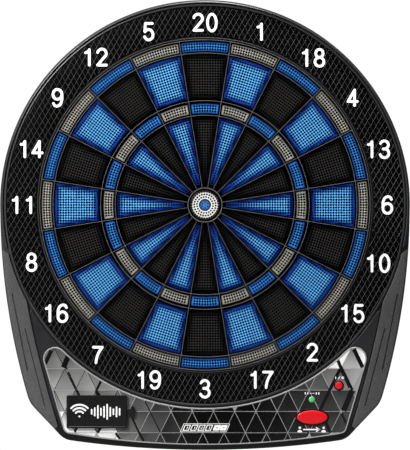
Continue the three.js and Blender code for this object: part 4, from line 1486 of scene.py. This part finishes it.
def make_floor():
    """A round pale floor below the board that fades into the white world towards its edge."""
    mesh = bpy.data.meshes.new("floor")
    rim = circle(FLOOR_RADIUS, 96)
    mesh.from_pydata([(x, y, cad_low.z - FLOOR_DROP) for x, y in rim], [], [tuple(range(len(rim)))])
    look, tree, shader = new_look("floor")
    paint = {"Base Color": patches(tree, 3, 2, 0.8, 0.84), "Roughness": 0.9, "Specular IOR Level": 0.1}
    feed(tree, shader, paint)
    reach = node(tree, "VectorMath", {0: object_point(tree)}, "Value", operation="LENGTH")
    fade = {"From Min": FLOOR_FADE[0], "From Max": FLOOR_FADE[1], "Value": reach}
    far = node(tree, "MapRange", fade, interpolation_type="SMOOTHSTEP")
    seen = node(tree, "LightPath", {}, "Is Camera Ray")
    dim = node(tree, "BsdfDiffuse", {"Color": (0.3, 0.3, 0.3, 1)})
    lit = node(tree, "MixShader", {"Fac": seen, 1: dim, 2: shader.outputs[0]})
    white = node(tree, "Emission", {"Strength": WHITE})
    edge = node(tree, "Math", {0: far, 1: seen}, operation="MULTIPLY")
    both = node(tree, "MixShader", {"Fac": edge, 1: lit, 2: white})
    feed(tree, tree.nodes["Material Output"], {"Surface": both})
    mesh.materials.append(look)
    linked("floor", mesh)


def make_world():
    """White to the camera, and only a faint glow to everything else."""
    world = bpy.data.worlds.new("studio")
    world.use_nodes = True
    bpy.context.scene.world = world
    tree = world.node_tree
    glow = tree.nodes["Background"]
    feed(tree, glow, {"Strength": 0.08, "Color": (1, 1, 1, 1)})
    white = node(tree, "Background", {"Strength": WHITE, "Color": (1, 1, 1, 1)})
    seen = node(tree, "LightPath", {}, "Is Camera Ray")
    both = node(tree, "MixShader", {"Fac": seen, 1: glow.outputs[0], 2: white})
    feed(tree, tree.nodes["World Output"], {"Surface": both})


def lamp(name, place, aim, size, power):
    data = bpy.data.lights.new(name, "AREA")
    data.shape = "DISK"
    data.size = size
    data.energy = power
    obj = linked(name, data)
    obj.location = place
    direction = np.subtract(aim, place)
    yaw = math.atan2(direction[1], direction[0])
    pitch = math.atan2(math.hypot(direction[0], direction[1]), -direction[2])
    obj.rotation_euler = (pitch, 0, yaw - math.pi / 2)


def make_camera():
    camera = bpy.data.cameras.new("camera")
    camera.lens = 200
    camera.sensor_width = 36
    middle = (cad_low + cad_high) / 2
    distance = VIEW_HEIGHT * camera.lens / camera.sensor_width
    viewer = linked("camera", camera)
    viewer.location = (middle.x, -RING_FRONT * MM - distance, middle.z)
    viewer.rotation_euler = (math.pi / 2, 0, 0)
    bpy.context.scene.camera = viewer


def make_stage():
    bpy.context.scene.view_settings.view_transform = "Standard"
    make_floor()
    make_world()
    lamp("key", (-1.35, -1.4, 1.3), (0, 0, -0.05), 1.0, 86)
    lamp("top", (0.1, -0.42, 1.8), (0, 0, 0), 0.7, 40)
    lamp("fill", (-1.7, -1.8, -0.2), (0, 0, -0.1), 1.2, 5)
    lamp("back_left", (-1.1, 2.3, 0.9), (0, 0, 0), 1.3, 40)
    lamp("back_right", (1.1, 2.3, 0.9), (0, 0, 0), 1.3, 40)
    make_camera()


make_pads()
make_carriers()
make_bulls()
make_web()
make_number_ring()
make_numerals()
make_front_housing()
make_wings()
make_panel()
make_controls()
make_module()
make_stub()
make_prints()
make_marks()
make_rear()
make_battery_cover()
make_screws()
make_bumpers()
paint_cad()
make_stage()
